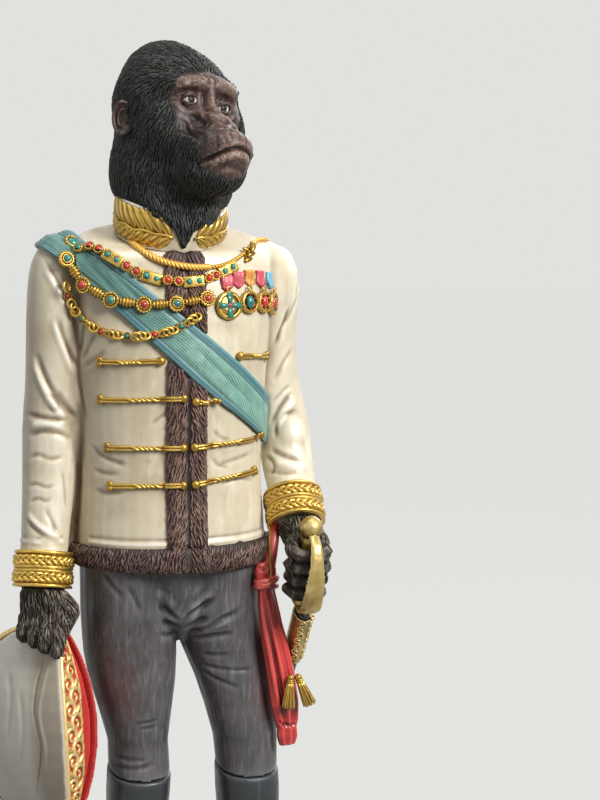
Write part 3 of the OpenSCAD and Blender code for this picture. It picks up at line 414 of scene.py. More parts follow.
def tube(name, path, radius, sides=8, closed=False):
    """A tube of a radius, or of one for each point, in millimetres, along a path of points."""
    path = [Vector(p) for p in path]
    count = len(path)
    radii = radius if isinstance(radius, (list, tuple)) else [radius] * count
    points = []
    u = None
    for k, p in enumerate(path):
        if closed:
            way = (path[(k + 1) % count] - path[k - 1]).normalized()
        else:
            way = (path[min(k + 1, count - 1)] - path[max(k - 1, 0)]).normalized()
        if u is None:
            u = way.orthogonal()
        u = (u - way * u.dot(way)).normalized()
        v = way.cross(u)
        for j in range(sides):
            turn = 2 * math.pi * j / sides
            points.append(p + (u * math.cos(turn) + v * math.sin(turn)) * (radii[k] * MM))
    faces = []
    for k in range(count if closed else count - 1):
        here, there = k * sides, (k + 1) % count * sides
        for j in range(sides):
            after = (j + 1) % sides
            faces.append((here + j, here + after, there + after, there + j))
    if not closed:
        faces.append(tuple(range(sides))[::-1])
        faces.append(tuple((count - 1) * sides + j for j in range(sides)))
    return new_piece(name, points, faces)


def even(path, count, closed=False):
    """Evenly spaced points along a path."""
    path = [Vector(p) for p in path]
    if closed:
        path.append(path[0])
    run = [0.0]
    for a, b in zip(path, path[1:]):
        run.append(run[-1] + (b - a).length)
    places = np.linspace(0, run[-1], count + 1)[:-1] if closed else np.linspace(0, run[-1], count)
    columns = [np.interp(places, run, [p[k] for p in path]) for k in range(3)]
    return [Vector(p) for p in zip(*columns)]


def rope(name, path, radius, strands, pitch, sides=7):
    """Strands laid round each other along a path."""
    length = sum((b - a).length for a, b in zip(path, path[1:]))
    turns = length / (pitch * MM)
    line = even(path, max(8, int(turns * 10)))
    twist = 2 * math.pi * turns / (len(line) - 1)
    pieces = []
    for s in range(strands):
        u = None
        strand = []
        for k, p in enumerate(line):
            way = (line[min(k + 1, len(line) - 1)] - line[max(k - 1, 0)]).normalized()
            u = (u - way * u.dot(way)).normalized() if u else way.orthogonal().normalized()
            turn = k * twist + 2 * math.pi * s / strands
            strand.append(p + (u * math.cos(turn) + way.cross(u) * math.sin(turn)) * (radius * 0.55 * MM))
        pieces.append(tube(name, strand, radius * 0.5, sides))
    return joined(name, pieces)


# Rings of a lock from root to tip: share of the width, of the height and of the dry-brushed paint
LOCK_RINGS = ((0.55, 0.1, 0.2), (1.0, 1.0, 0.8), (0.8, 0.9, 1.0), (0.14, 0.3, 0.7))


def scatter(piece, gap, wanted, seed):
    """Points spread over a piece no closer than a gap, where wanted says so."""
    rng = np.random.default_rng(seed)
    gap = gap * MM
    piece.data.calc_loop_triangles()
    corners = np.empty(len(piece.data.loop_triangles) * 3, int)
    piece.data.loop_triangles.foreach_get("vertices", corners)
    a, b, c = (points_of(piece)[corners.reshape(-1, 3)[:, k]] for k in range(3))
    area = np.linalg.norm(np.cross(b - a, c - a), axis=1) / 2
    tries = int(area.sum() / gap ** 2 * 5)
    pick = rng.choice(len(area), tries, p=area / area.sum())
    s, t = rng.random((2, tries, 1))
    fold = s + t > 1
    s, t = np.where(fold, 1 - s, s), np.where(fold, 1 - t, t)
    spots = a[pick] + s * (b[pick] - a[pick]) + t * (c[pick] - a[pick])
    steps = (-1, 0, 1)
    cells = {}
    kept = []
    for p in spots[wanted(spots)]:
        key = tuple(np.floor(p / gap).astype(int))
        beside = ((key[0] + x, key[1] + y, key[2] + z) for x in steps for y in steps for z in steps)
        if all(np.linalg.norm(p - q) >= gap for cell in beside for q in cells.get(cell, ())):
            cells.setdefault(key, []).append(p)
            kept.append(Vector(p))
    return kept


def locks(name, tree, roots, flow, length, width, height, seed):
    """Carved locks that lie along a flow over a surface, each a closed ridge with its size in millimetres."""
    rng = np.random.default_rng(seed)
    length, width, height = length * MM, width * MM, height * MM
    points, faces, raised, hollow, tone = [], [], [], [], []
    last = len(LOCK_RINGS) - 1
    for root in roots:
        at, out, _, _ = tree.find_nearest(root)
        grow = rng.uniform(0.75, 1.25)
        bend = rng.normal(0, 0.22)
        shade = rng.random()
        start = len(points)
        for k, (wide, high, crest) in enumerate(LOCK_RINGS):
            pull = flow(at, out)
            pull = (pull - out * pull.dot(out)).normalized()
            aside = out.cross(pull)
            way = (pull + aside * bend * (k / last + 0.4)).normalized()
            aside = out.cross(way)
            half = width * wide * grow / 2
            rise = height * high * grow
            foot = -0.4 * height
            for across, up in ((-1, foot), (-0.6, rise * 0.7), (0, rise), (0.6, rise * 0.7), (1, foot)):
                points.append(at + aside * half * across + out * up)
            raised += [0, 0.35 * crest, crest, 0.35 * crest, 0]
            hollow += [1, 0.4, 0, 0.4, 1]
            tone += [shade] * 5
            if k < last:
                at, out, _, _ = tree.find_nearest(at + way * length * grow / last)
        for k in range(last):
            for j in range(5):
                a, b = start + k * 5 + j, start + k * 5 + (j + 1) % 5
                faces.append((a, b, b + 5, a + 5))
        faces.append(tuple(start + j for j in range(4, -1, -1)))
        faces.append(tuple(start + last * 5 + j for j in range(5)))
    piece = new_piece(name, points, faces)
    edit(piece, lambda: bpy.ops.mesh.normals_make_consistent(inside=False))
    mark(piece, "raised", raised)
    mark(piece, "hollow", hollow)
    mark(piece, "tone", tone)
    return piece


# Finishes


def rgb(*levels):
    """A colour as the screen shows it, for a shader socket."""
    linear = [((v / 255 + 0.055) / 1.055) ** 2.4 if v > 10 else v / 255 / 12.92 for v in levels]
    return tuple(linear) + (1,)


# How far a full bump stands out, in metres
BUMP = 0.0004


class Finish:
    """A node material for painted castings, built up in layers of colour."""

    def __init__(self, name, colour, rough=0.5, metal=0.0, coat=0.0, sheen=0.0, specular=0.5):
        self.material = bpy.data.materials.new(name)
        self.material.use_nodes = True
        self.tree = self.material.node_tree
        self.shader = self.tree.nodes["Principled BSDF"]
        self.colour = rgb(*colour)
        self.height = None
        for key, value in (("Base Color", self.colour), ("Roughness", rough), ("Metallic", metal),
                           ("Coat Weight", coat), ("Coat Roughness", 0.25), ("Sheen Weight", sheen),
                           ("Specular IOR Level", specular)):
            self.shader.inputs[key].default_value = value

    def feed(self, socket, value):
        """Links a socket to another one, or sets its value."""
        if isinstance(value, bpy.types.NodeSocket):
            self.tree.links.new(value, socket)
        else:
            socket.default_value = value

    def add(self, kind, inputs=(), **settings):
        """A node with its settings and inputs."""
        node = self.tree.nodes.new(kind)
        for key, value in settings.items():
            setattr(node, key, value)
        for key, value in inputs:
            self.feed(node.inputs[key], value)
        return node

    def noise(self, scale, down=1):
        """A cloudy pattern, drawn out along Z where down is small."""
        where = self.add("ShaderNodeTexCoord").outputs["Object"]
        mapping = self.add("ShaderNodeMapping", (("Vector", where), ("Scale", (1, 1, down))))
        inputs = (("Vector", mapping.outputs["Vector"]), ("Scale", scale), ("Detail", 4), ("Roughness", 0.6))
        return self.add("ShaderNodeTexNoise", inputs).outputs["Fac"]

    def marked(self, name):
        """The numbers of a mark."""
        return self.add("ShaderNodeAttribute", attribute_name=name).outputs["Fac"]

    def ranged(self, value, low, high, to_low=0.0, to_high=1.0):
        """A value carried from one range to another, with soft ends."""
        inputs = (("Value", value), ("From Min", low), ("From Max", high), ("To Min", to_low),
                  ("To Max", to_high))
        return self.add("ShaderNodeMapRange", inputs, interpolation_type="SMOOTHSTEP").outputs["Result"]

    def maths(self, kind, *values):
        """A sum, product or wave of values."""
        return self.add("ShaderNodeMath", enumerate(values), operation=kind).outputs["Value"]

    def layer(self, amount, colour):
        """Lays a colour over the last one, as thick as amount says."""
        inputs = (("A", self.colour), ("B", rgb(*colour)), ("Factor", amount))
        self.colour = self.add("ShaderNodeMix", inputs, data_type="RGBA").outputs["Result"]
        self.feed(self.shader.inputs["Base Color"], self.colour)
        return self

    def patches(self, colour, scale, low, high, strength, down=1):
        """Clouds of another colour."""
        return self.layer(self.ranged(self.noise(scale, down), low, high, 0, strength), colour)

    def tones(self, colour, low, strength):
        """Shades some of the locks."""
        return self.layer(self.ranged(self.marked("tone"), low, 1, 0, strength), colour)

    def hollows(self, colour, strength):
        """A darker paint that settles in the hollows."""
        return self.layer(self.maths("MULTIPLY", self.marked("hollow"), strength), colour)

    def ridges(self, colour, strength):
        """Paint that catches the ridges."""
        return self.layer(self.maths("MULTIPLY", self.marked("raised"), strength), colour)

    def dry_brush(self, colour, scale, strength):
        """Paint that catches the ridges here and there."""
        return self.ridges(colour, self.ranged(self.noise(scale), 0.38, 0.64, 0.12, strength))

    def roughness(self, scale, low, high, down=1):
        """Uneven gloss."""
        self.feed(self.shader.inputs["Roughness"], self.ranged(self.noise(scale, down), 0.3, 0.7, low, high))
        return self

    def bump(self, height, strength, down=1):
        """Raises the surface by a value of its own, or by a pattern of a scale."""
        if not isinstance(height, bpy.types.NodeSocket):
            height = self.noise(height, down)
        node = self.add("ShaderNodeBump", (("Height", height), ("Strength", strength), ("Distance", BUMP)))
        if self.height:
            self.feed(node.inputs["Normal"], self.height)
        self.height = node.outputs["Normal"]
        self.feed(self.shader.inputs["Normal"], self.height)
        return self


def gold_finish(name, colour, dark, bright, metal):
    """Bright gold paint over dark hollows."""
    finish = Finish(name, colour, rough=0.32, metal=metal, coat=0.1)
    finish.patches(dark, 160, 0.45, 0.68, 0.8)
    finish.ridges(bright, 0.65).hollows((52, 28, 8), 1.0)
    return finish.roughness(260, 0.22, 0.42).bump(900, 0.15)


def fur_finish(name, colour, patch, strength):
    """Brown carved fur, dry-brushed on the strands."""
    finish = Finish(name, colour, rough=0.6)
    finish.patches(patch, 160, 0.42, 0.7, 0.8)
    finish.tones((92, 62, 52), 0.5, 0.6)
    finish.dry_brush((176, 142, 126), 260, strength).hollows((16, 9, 8), 0.95)
    return finish.roughness(300, 0.45, 0.7).bump(1500, 0.2, 0.2)


def hair_finish(name, colour, brushed, strength):
    """Dark carved hair, dry-brushed lighter."""
    finish = Finish(name, colour, specular=0.22)
    finish.patches((24, 20, 17), 120, 0.45, 0.7, 0.8)
    finish.tones((28, 30, 29), 0.6, 0.7)
    finish.dry_brush(brushed, 320, strength).hollows((4, 4, 5), 0.95)
    return finish.roughness(300, 0.34, 0.6).bump(1500, 0.2, 0.2)


def red_finish(name):
    """Bright red satin paint, dark in the folds."""
    finish = Finish(name, (196, 50, 46), rough=0.34, coat=0.3)
    finish.patches((164, 32, 34), 90, 0.42, 0.7, 0.8)
    finish.ridges((234, 104, 90), 0.8).hollows((58, 6, 12), 0.92)
    return finish.roughness(200, 0.26, 0.44).bump(500, 0.12, 0.2)


def stone_finish(name, colour, dark):
    """A painted stone under thick gloss."""
    finish = Finish(name, colour, rough=0.25, coat=0.3)
    return finish.patches(dark, 420, 0.45, 0.65, 0.8).bump(300, 0.08)


def ribbon_finish(name, colour, dark):
    """Enamelled ribbon with a stained edge."""
    finish = Finish(name, colour, rough=0.4, coat=0.3)
    return finish.patches(dark, 260, 0.48, 0.7, 0.8, 0.3).hollows(dark, 0.8).bump(700, 0.2)


def skin_finish(name):
    """Brown painted skin that fades into the black hair."""
    finish = Finish(name, (13, 12, 12), specular=0.3)
    skin = finish.marked("skin")
    finish.layer(skin, (72, 47, 40))
    blotches = ((170, 0.45, 0.62, 1, (44, 27, 25)), (420, 0.52, 0.66, 0.6, (124, 100, 86)),
                (800, 0.5, 0.62, 0.85, (26, 16, 15)))
    for scale, low, high, strength, colour in blotches:
        broken = finish.ranged(finish.noise(scale), low, high, 0, strength)
        finish.layer(finish.maths("MULTIPLY", broken, skin), colour)
    finish.dry_brush((182, 156, 140), 800, 0.75).hollows((12, 8, 7), 0.95)
    return finish.roughness(300, 0.34, 0.55).bump(1100, 0.35).bump(420, 0.3)


def trouser_finish(name):
    """Charcoal paint brushed down the leg, with a painted reflection of the red hat and sash as a dark red
    tint on the outside of the thighs.
    """
    finish = Finish(name, (84, 80, 79))
    finish.patches((58, 54, 56), 60, 0.4, 0.64, 0.8)
    finish.patches((134, 130, 133), 700, 0.48, 0.72, 0.5, 0.1)
    finish.patches((38, 35, 38), 800, 0.52, 0.74, 0.65, 0.08)
    # Painted reflection of the red hat and sash, in streaks on the outside of the thighs
    streaks = finish.ranged(finish.noise(200, 0.15), 0.3, 0.7, 0.3)
    finish.layer(finish.maths("MULTIPLY", finish.marked("red_reflection"), streaks), (96, 38, 36))
    finish.ridges((150, 150, 156), 0.5).hollows((18, 17, 19), 0.9)
    return finish.roughness(300, 0.36, 0.62, 0.1).bump(700, 0.22, 0.06)


def teal_finish(name):
    """Teal silk with fine ribs, darker borders and painted shade towards its upper end."""
    finish = Finish(name, (126, 170, 154), rough=0.42, sheen=0.15)
    finish.patches((100, 146, 132), 60, 0.42, 0.7, 0.6)
    finish.patches((160, 196, 180), 150, 0.52, 0.74, 0.6)
    # Painted shade: the sash darkens towards its upper end, under the chains
    finish.layer(finish.marked("painted_shade"), (66, 112, 106))
    finish.layer(finish.marked("border"), (52, 104, 118))
    wave = finish.maths("SINE", finish.maths("MULTIPLY", finish.marked("rib"), 2 * math.pi))
    rib = finish.maths("MULTIPLY", finish.ranged(wave, -0.2, 0.9), finish.marked("field"))
    broken = finish.maths("MULTIPLY", rib, finish.ranged(finish.noise(140), 0.4, 0.6, 0.15, 0.8))
    finish.layer(broken, (40, 84, 82))
    finish.ridges((150, 190, 176), 0.6).hollows((10, 34, 50), 0.95)
    return finish.roughness(200, 0.36, 0.54).bump(700, 0.12).bump(finish.maths("MULTIPLY", broken, -1.0), 0.5)


def eye_finish(name):
    """A glossy painted eye: pale round a brown iris and a black pupil."""
    finish = Finish(name, (204, 198, 186), rough=0.4, specular=0.2)
    finish.patches((168, 154, 140), 600, 0.45, 0.7, 0.5)
    gaze = finish.marked("gaze")
    finish.layer(finish.ranged(gaze, 0.92, 1.15), (40, 28, 24))
    for edge, colour in ((0.44, (12, 9, 8)), (0.36, (44, 30, 20)), (0.24, (5, 4, 4))):
        finish.layer(finish.ranged(gaze, edge, edge + 0.06, 1, 0), colour)
    return finish


GOLD = gold_finish("gold_paint", (136, 98, 26), (96, 64, 14), (224, 190, 98), 0.85)
LACE = gold_finish("lace_gold", (212, 172, 88), (164, 120, 48), (252, 230, 166), 0.55)
HEM_FUR = fur_finish("hem_fur", (46, 29, 24), (72, 44, 36), 0.75)
FRONT_FUR = fur_finish("front_fur", (70, 45, 37), (104, 68, 54), 0.85)
HAIR = hair_finish("black_hair", (11, 11, 11), (122, 125, 118), 0.5)
HAND = hair_finish("hand_hair", (34, 29, 24), (172, 158, 138), 0.95)
RED = red_finish("sash_red")
LINING = red_finish("hat_red")
RUBY = stone_finish("red_stone", (196, 42, 28), (128, 16, 12))
EMERALD = stone_finish("green_stone", (30, 132, 116), (10, 76, 70))
PINK = ribbon_finish("ribbon_pink", (206, 84, 96), (140, 30, 44))
AMBER = ribbon_finish("ribbon_amber", (214, 150, 52), (150, 90, 22))
SKY = ribbon_finish("ribbon_sky", (120, 182, 204), (60, 118, 148))
PEARL = ribbon_finish("medal_white", (232, 226, 210), (190, 178, 150))
SKIN = skin_finish("face_paint")
TROUSER = trouser_finish("charcoal_cloth")
TEAL = teal_finish("teal_silk")
EYE = eye_finish("eye_gloss")

# Cream pearl paint, with a brown wash in the creases and worn to white on the ridges
CREAM = Finish("cream_pearl", (206, 194, 166), rough=0.42, coat=0.25)
CREAM.patches((180, 165, 134), 45, 0.42, 0.7, 0.8)
CREAM.patches((232, 222, 198), 110, 0.5, 0.75, 0.75, 0.4)
CREAM.patches((168, 148, 114), 260, 0.6, 0.78, 0.45, 0.35)
CREAM.ridges((244, 238, 222), 0.8).hollows((96, 68, 44), 0.95)
CREAM.patches((112, 82, 54), 900, 0.73, 0.79, 0.6)
CREAM.roughness(90, 0.34, 0.52).bump(500, 0.12, 0.5).bump(110, 0.15)

# Antique brass paint, rubbed and stained
BRASS = Finish("antique_brass", (176, 152, 92), rough=0.36, metal=0.8, coat=0.1)
BRASS.patches((120, 96, 48), 90, 0.45, 0.68, 0.8)
BRASS.patches((208, 190, 132), 160, 0.52, 0.72, 0.8)
BRASS.ridges((226, 208, 150), 0.7).hollows((62, 46, 20), 0.85)
BRASS.patches((60, 46, 24), 1100, 0.68, 0.76, 0.6)
BRASS.roughness(240, 0.28, 0.5).bump(700, 0.2)

# Dark polished grey
BOOT = Finish("boot_grey", (38, 43, 45))
BOOT.patches((34, 34, 37), 70, 0.42, 0.66, 0.9)
BOOT.patches((92, 94, 100), 300, 0.54, 0.76, 0.6, 0.12)
BOOT.ridges((96, 100, 104), 0.3).hollows((12, 12, 13), 0.9)
BOOT.roughness(200, 0.28, 0.5).bump(600, 0.15, 0.1)

# Orange gold twist
CORD = Finish("cord_gold", (196, 132, 40), rough=0.4, metal=0.45)
CORD.patches((158, 96, 28), 160, 0.45, 0.7, 0.7)
CORD.ridges((236, 190, 96), 0.8).hollows((70, 34, 10), 0.9).bump(900, 0.2)

# Off-white felt, stained along its seams, with painted shade on its near side towards the brim
HAT = Finish("hat_felt", (248, 243, 229), rough=0.55)
HAT.patches((228, 219, 202), 50, 0.42, 0.7, 0.7)
HAT.patches((242, 238, 226), 90, 0.5, 0.75, 0.7, 0.4)
HAT.ridges((238, 232, 220), 0.5).hollows((110, 84, 60), 0.7)
HAT.patches((132, 104, 76), 700, 0.72, 0.8, 0.5)
# Painted shade on the near side, darker towards the brim
HAT.layer(HAT.marked("brim_shade"), (176, 158, 134))
HAT.layer(HAT.marked("lined"), (186, 46, 42))
HAT.bump(900, 0.15).bump(90, 0.15)

# Black lacquer
SCABBARD = Finish("scabbard_black", (30, 27, 28), rough=0.35, coat=0.3)
SCABBARD.patches((48, 44, 44), 140, 0.5, 0.72, 0.8, 0.3).hollows((10, 9, 9), 0.8)
SCABBARD.roughness(200, 0.28, 0.5).bump(600, 0.2)

# Dark brown lacquer
BASE = Finish("base_lacquer", (42, 34, 30), rough=0.38, coat=0.3)
BASE.patches((58, 44, 36), 40, 0.4, 0.7, 0.8, 4)
BASE.patches((24, 19, 17), 120, 0.5, 0.75, 0.8)
BASE.roughness(160, 0.3, 0.5).bump(400, 0.15)

# Dark green felt
FELT = Finish("felt_green", (34, 40, 36), rough=0.95, sheen=0.4)
FELT.patches((48, 54, 48), 900, 0.4, 0.7, 0.8).bump(3000, 0.5)


# The surround's brightness to the camera and to the figure, its tint, the floor's paper and the light on it
BACKDROP = 0.752
WORLD_LIGHT = 0.14
TINT = (1.0, 1.0, 0.975, 1)
PAPER = 0.035
PAPER_LIGHT = 0.35
# Lamps: to the right, towards the camera and up from the target, in metres, then size and power
LAMPS = (
    ("key", 0.8, 0.75, 0.55, 0.55, 22),
    ("top", -0.1, 0.2, 1.1, 0.7, 6),
    ("fill", -1.0, 0.5, 0.2, 0.9, 1.9),
    ("rim", 0.5, -0.9, 0.6, 0.7, 5),
)


def background_rays(tree):
    """1 for the rays that show the surround itself, to the camera and in polished paint."""
    path = tree.nodes.new("ShaderNodeLightPath")
    rays = path.outputs["Is Camera Ray"]
    for kind in ("Is Glossy Ray", "Is Transmission Ray"):
        both = tree.nodes.new("ShaderNodeMath")
        both.operation = "ADD"
        both.use_clamp = True
        tree.links.new(rays, both.inputs[0])
        tree.links.new(path.outputs[kind], both.inputs[1])
        rays = both.outputs[0]
    return rays


def make_floor():
    """Pale paper that keeps the figure's shadow."""
    bpy.ops.mesh.primitive_plane_add(size=12, location=(0, 0, 0))
    floor = bpy.context.object
    floor.name = "floor"
    material = bpy.data.materials.new("floor_paper")
    material.use_nodes = True
    tree = material.node_tree
    tree.nodes.clear()
    output = tree.nodes.new("ShaderNodeOutputMaterial")
    paper = tree.nodes.new("ShaderNodeBsdfDiffuse")
    paper.inputs["Color"].default_value = (PAPER, PAPER, PAPER, 1)
    glow = tree.nodes.new("ShaderNodeEmission")
    glow.inputs["Color"].default_value = TINT
    level = tree.nodes.new("ShaderNodeMath")
    level.operation = "MULTIPLY"
    level.inputs[1].default_value = BACKDROP - PAPER * PAPER_LIGHT
    both = tree.nodes.new("ShaderNodeAddShader")
    tree.links.new(background_rays(tree), level.inputs[0])
    tree.links.new(level.outputs[0], glow.inputs["Strength"])
    tree.links.new(paper.outputs[0], both.inputs[0])
    tree.links.new(glow.outputs[0], both.inputs[1])
    tree.links.new(both.outputs[0], output.inputs["Surface"])
    floor.data.materials.append(material)


def make_light():
    """A pale surround and soft studio lamps."""
    world = bpy.data.worlds.new("studio")
    scene.world = world
    world.use_nodes = True
    tree = world.node_tree
    back = tree.nodes["Background"]
    back.inputs["Color"].default_value = TINT
    level = tree.nodes.new("ShaderNodeMapRange")
    level.inputs["To Min"].default_value = WORLD_LIGHT
    level.inputs["To Max"].default_value = BACKDROP
    tree.links.new(background_rays(tree), level.inputs["Value"])
    tree.links.new(level.outputs["Result"], back.inputs["Strength"])
    for name, right, near, high, size, power in LAMPS:
        away = RIGHT * right + AWAY * near + Vector((0, 0, high))
        lamp = bpy.data.lights.new(name, "AREA")
        lamp.size = size
        lamp.energy = power
        holder = bpy.data.objects.new(name, lamp)
        scene.collection.objects.link(holder)
        holder.location = TARGET + away
        holder.rotation_euler = away.to_track_quat("Z", "Y").to_euler()


def place(piece, finish, slot, *replaced):
    """Fixes a finished piece to the figure: its paint and the solids that it stands for. The slot is not
    used.
    """
    piece.data.materials.clear()
    piece.data.materials.append(finish.material)
    take(piece)
    bpy.ops.object.shade_smooth()
    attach(piece, "root")
    if replaced:
        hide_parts(*replaced)
    return piece


def paint(piece, finish, slot, node, rounds, depth):
    """Marks a piece's hollows and ridges, by a depth in millimetres, then fixes it."""
    relief(piece, rounds, depth)
    return place(piece, finish, slot, node)


def gild(piece, node, rounds=5, depth=0.3):
    """Fixes a gilt piece."""
    return paint(piece, GOLD, "gold_paint", node, rounds, depth)


def repaint(node, finish):
    """A better paint on a solid whose shape is right."""
    for slot in nodes[node].material_slots:
        slot.material = finish.material


# The coat: torso and sleeves as one casting, with the folds that the photograph shows.
# Each fold is a half width and a height in millimetres, then places in the photograph.
COAT_FOLDS = (
    ("right armhole seam", 1.3, -0.75, ((40, 250), (49, 266), (58, 283), (67, 299), (73, 310))),
    ("right armhole lip", 2.2, 0.55, ((36, 252), (45, 268), (54, 285), (63, 301), (69, 312))),
    ("right armpit", 1.5, -0.5, ((73, 308), (76, 325), (78, 345), (78, 375), (82, 400), (86, 420))),
    ("sleeve fold", 2.0, -0.8, ((58, 320), (63, 336), (69, 350), (76, 368))),
    ("sleeve fold ridge", 2.4, 0.7, ((54, 322), (59, 338), (65, 353), (73, 372))),
    ("chest pull one", 1.6, -0.6, ((84, 322), (82, 336), (80, 352))),
    ("chest pull two", 1.6, -0.55, ((96, 334), (89, 345), (83, 358))),
    ("chest pull three", 2.0, -0.5, ((104, 352), (94, 360), (84, 366))),
    ("elbow fold", 2.4, -0.9, ((37, 356), (42, 372), (50, 389), (60, 403), (69, 416))),
    ("elbow ridge", 2.8, 0.9, ((34, 360), (39, 378), (46, 393), (56, 408), (64, 420))),
    ("elbow leaf", 1.2, -0.6, ((47, 397), (52, 396), (58, 403), (60, 410), (54, 412), (47, 407))),
    ("elbow cross", 1.8, -0.8, ((28, 414), (40, 417), (54, 420), (68, 419))),
    ("elbow cross low", 2.2, -0.7, ((30, 436), (42, 430), (56, 432), (70, 438))),
    ("elbow swell", 3.4, 0.9, ((32, 426), (46, 424), (60, 427))),
    ("elbow slant", 1.8, -0.7, ((58, 392), (66, 404), (75, 417))),
    ("forearm one", 1.5, -0.6, ((29, 458), (38, 454), (50, 460), (62, 457))),
    ("forearm two", 1.4, -0.55, ((28, 487), (36, 484), (46, 489), (54, 486))),
    ("forearm three", 1.4, -0.55, ((30, 504), (38, 500), (46, 504), (50, 500))),
    ("forearm slant", 2.2, 0.8, ((28, 517), (37, 529), (48, 538), (60, 543))),
    ("forearm slant under", 1.5, -0.6, ((27, 523), (35, 534), (46, 542))),
    ("forearm long", 1.5, -0.55, ((46, 512), (51, 524), (57, 537))),
    ("forearm long two", 1.3, -0.45, ((62, 470), (65, 490), (66, 510))),
    ("left armhole seam", 1.3, -0.7, ((285, 246), (293, 262), (298, 280), (296, 296))),
    ("left armpit one", 1.8, -0.9, ((290, 307), (286, 318), (281, 330), (276, 345))),
    ("left armpit two", 1.6, -0.7, ((298, 294), (292, 311), (285, 326))),
    ("left sleeve pull", 1.8, -0.6, ((300, 330), (292, 348), (282, 364), (275, 380))),
    ("left elbow top", 2.0, -0.8, ((303, 386), (290, 394), (279, 408), (271, 424))),
    ("left elbow ridge", 2.6, 1.0, ((306, 394), (294, 400), (283, 412), (276, 428))),
    ("left elbow swell", 8.0, 1.6, ((294, 430),)),
    ("left elbow ring", 1.6, -0.8, ((276, 438), (275, 424), (283, 414), (297, 411), (309, 418))),
    ("left elbow low", 2.0, -0.9, ((272, 450), (284, 456), (299, 460), (314, 457))),
    ("left elbow low swell", 3.0, 0.8, ((276, 462), (290, 466), (306, 466))),
    ("left cuff fold", 1.8, -0.7, ((266, 471), (280, 474), (296, 474), (314, 471))),
    ("left crook", 1.5, -0.7, ((266, 456), (272, 460), (275, 468), (270, 475))),
    ("left sleeve pull two", 1.5, -0.5, ((272, 402), (280, 394), (290, 385))),
    ("waist pull one", 1.7, -0.6, ((92, 446), (100, 455), (112, 461), (126, 465))),
    ("waist pull two", 1.6, -0.45, ((94, 470), (106, 474), (118, 474))),
    ("waist pull three", 1.6, -0.45, ((96, 490), (108, 495), (122, 493))),
    ("waist pull four", 1.6, -0.45, ((250, 453), (236, 459), (218, 465))),
    ("waist pull five", 1.5, -0.45, ((252, 480), (238, 478), (222, 484))),
    ("front pull one", 1.3, -0.4, ((168, 412), (160, 417), (152, 424))),
    ("front pull two", 1.3, -0.4, ((213, 430), (220, 438), (230, 440))),
    ("front pull three", 1.3, -0.4, ((212, 458), (218, 466), (228, 468))),
    ("chest swell", 12.0, 0.6, ((120, 345),)),
)
# Seams and folds of the back, as heights above the hem and angles round the coat in degrees
BACK_SEAMS = (
    (0.9, -0.5, ((4, 90), (40, 90), (80, 90), (112, 90), (136, 90))),
    (0.9, -0.45, ((4, 62), (40, 66), (70, 64), (95, 50), (112, 36))),
    (0.9, -0.45, ((4, 118), (40, 114), (70, 116), (95, 130), (112, 144))),
    (2.4, -0.6, ((34, 40), (40, 56), (44, 72))),
    (2.4, -0.6, ((34, 140), (40, 124), (44, 108))),
    (2.0, -0.5, ((26, 46), (30, 62), (32, 78))),
    (2.0, -0.5, ((26, 134), (30, 118), (32, 102))),
)
SLEEVE_FOLDS = 5
# A fold round the back of an elbow: x from the middle, y and rise, in millimetres
ELBOW_FOLD = ((100, 20, 3), (66, 70, 0), (53, 70, 4))
# Cloth that fills the hollows between torso and sleeves: x from the middle, y, drop below the seat and radius
SHOULDER_FILL = (
    ((32, 0, 9.5, 9), (38, 1, 10, 9.5), (44, 2, 11.5, 9.2), (50, 3, 13.4, 8.2), (54, 3.5, 13.6, 6.5)),
    ((33, 8, 11.5, 8), (39, 9, 12.5, 8.5), (45, 9.6, 14, 8.2), (50, 9.6, 15.6, 7.4)),
    ((44, 0, 14, 8), (44.4, -0.5, 26, 9), (44.2, 0.5, 38, 8), (43.5, 2, 50, 6)),
    ((51, 2, 14, 7.5), (51.5, 2.4, 26, 8), (50.5, 3.4, 40, 7)),
    ((-43.5, -1, 30, 5), (-43.5, -3, 42, 6), (-43, -3.5, 60, 5.5), (-42.5, -2, 80, 5), (-42.8, 0, 96, 4)),
    ((-42.8, 0, 92, 4), (-43.4, 1, 108, 3.6), (-43.8, 1.5, 122, 3.2), (-44.2, 2, 138, 2.6)),
)


def around(tree, up, angle):
    """The coat's surface at a height above the hem, seen along a level line to its middle."""
    turn = math.radians(angle)
    way = Vector((math.cos(turn), math.sin(turn), 0))
    start = Vector((BODY_X, 0, HEM_Z + up * MM)) + way * 0.2
    return tree.ray_cast(start, -way)[0]


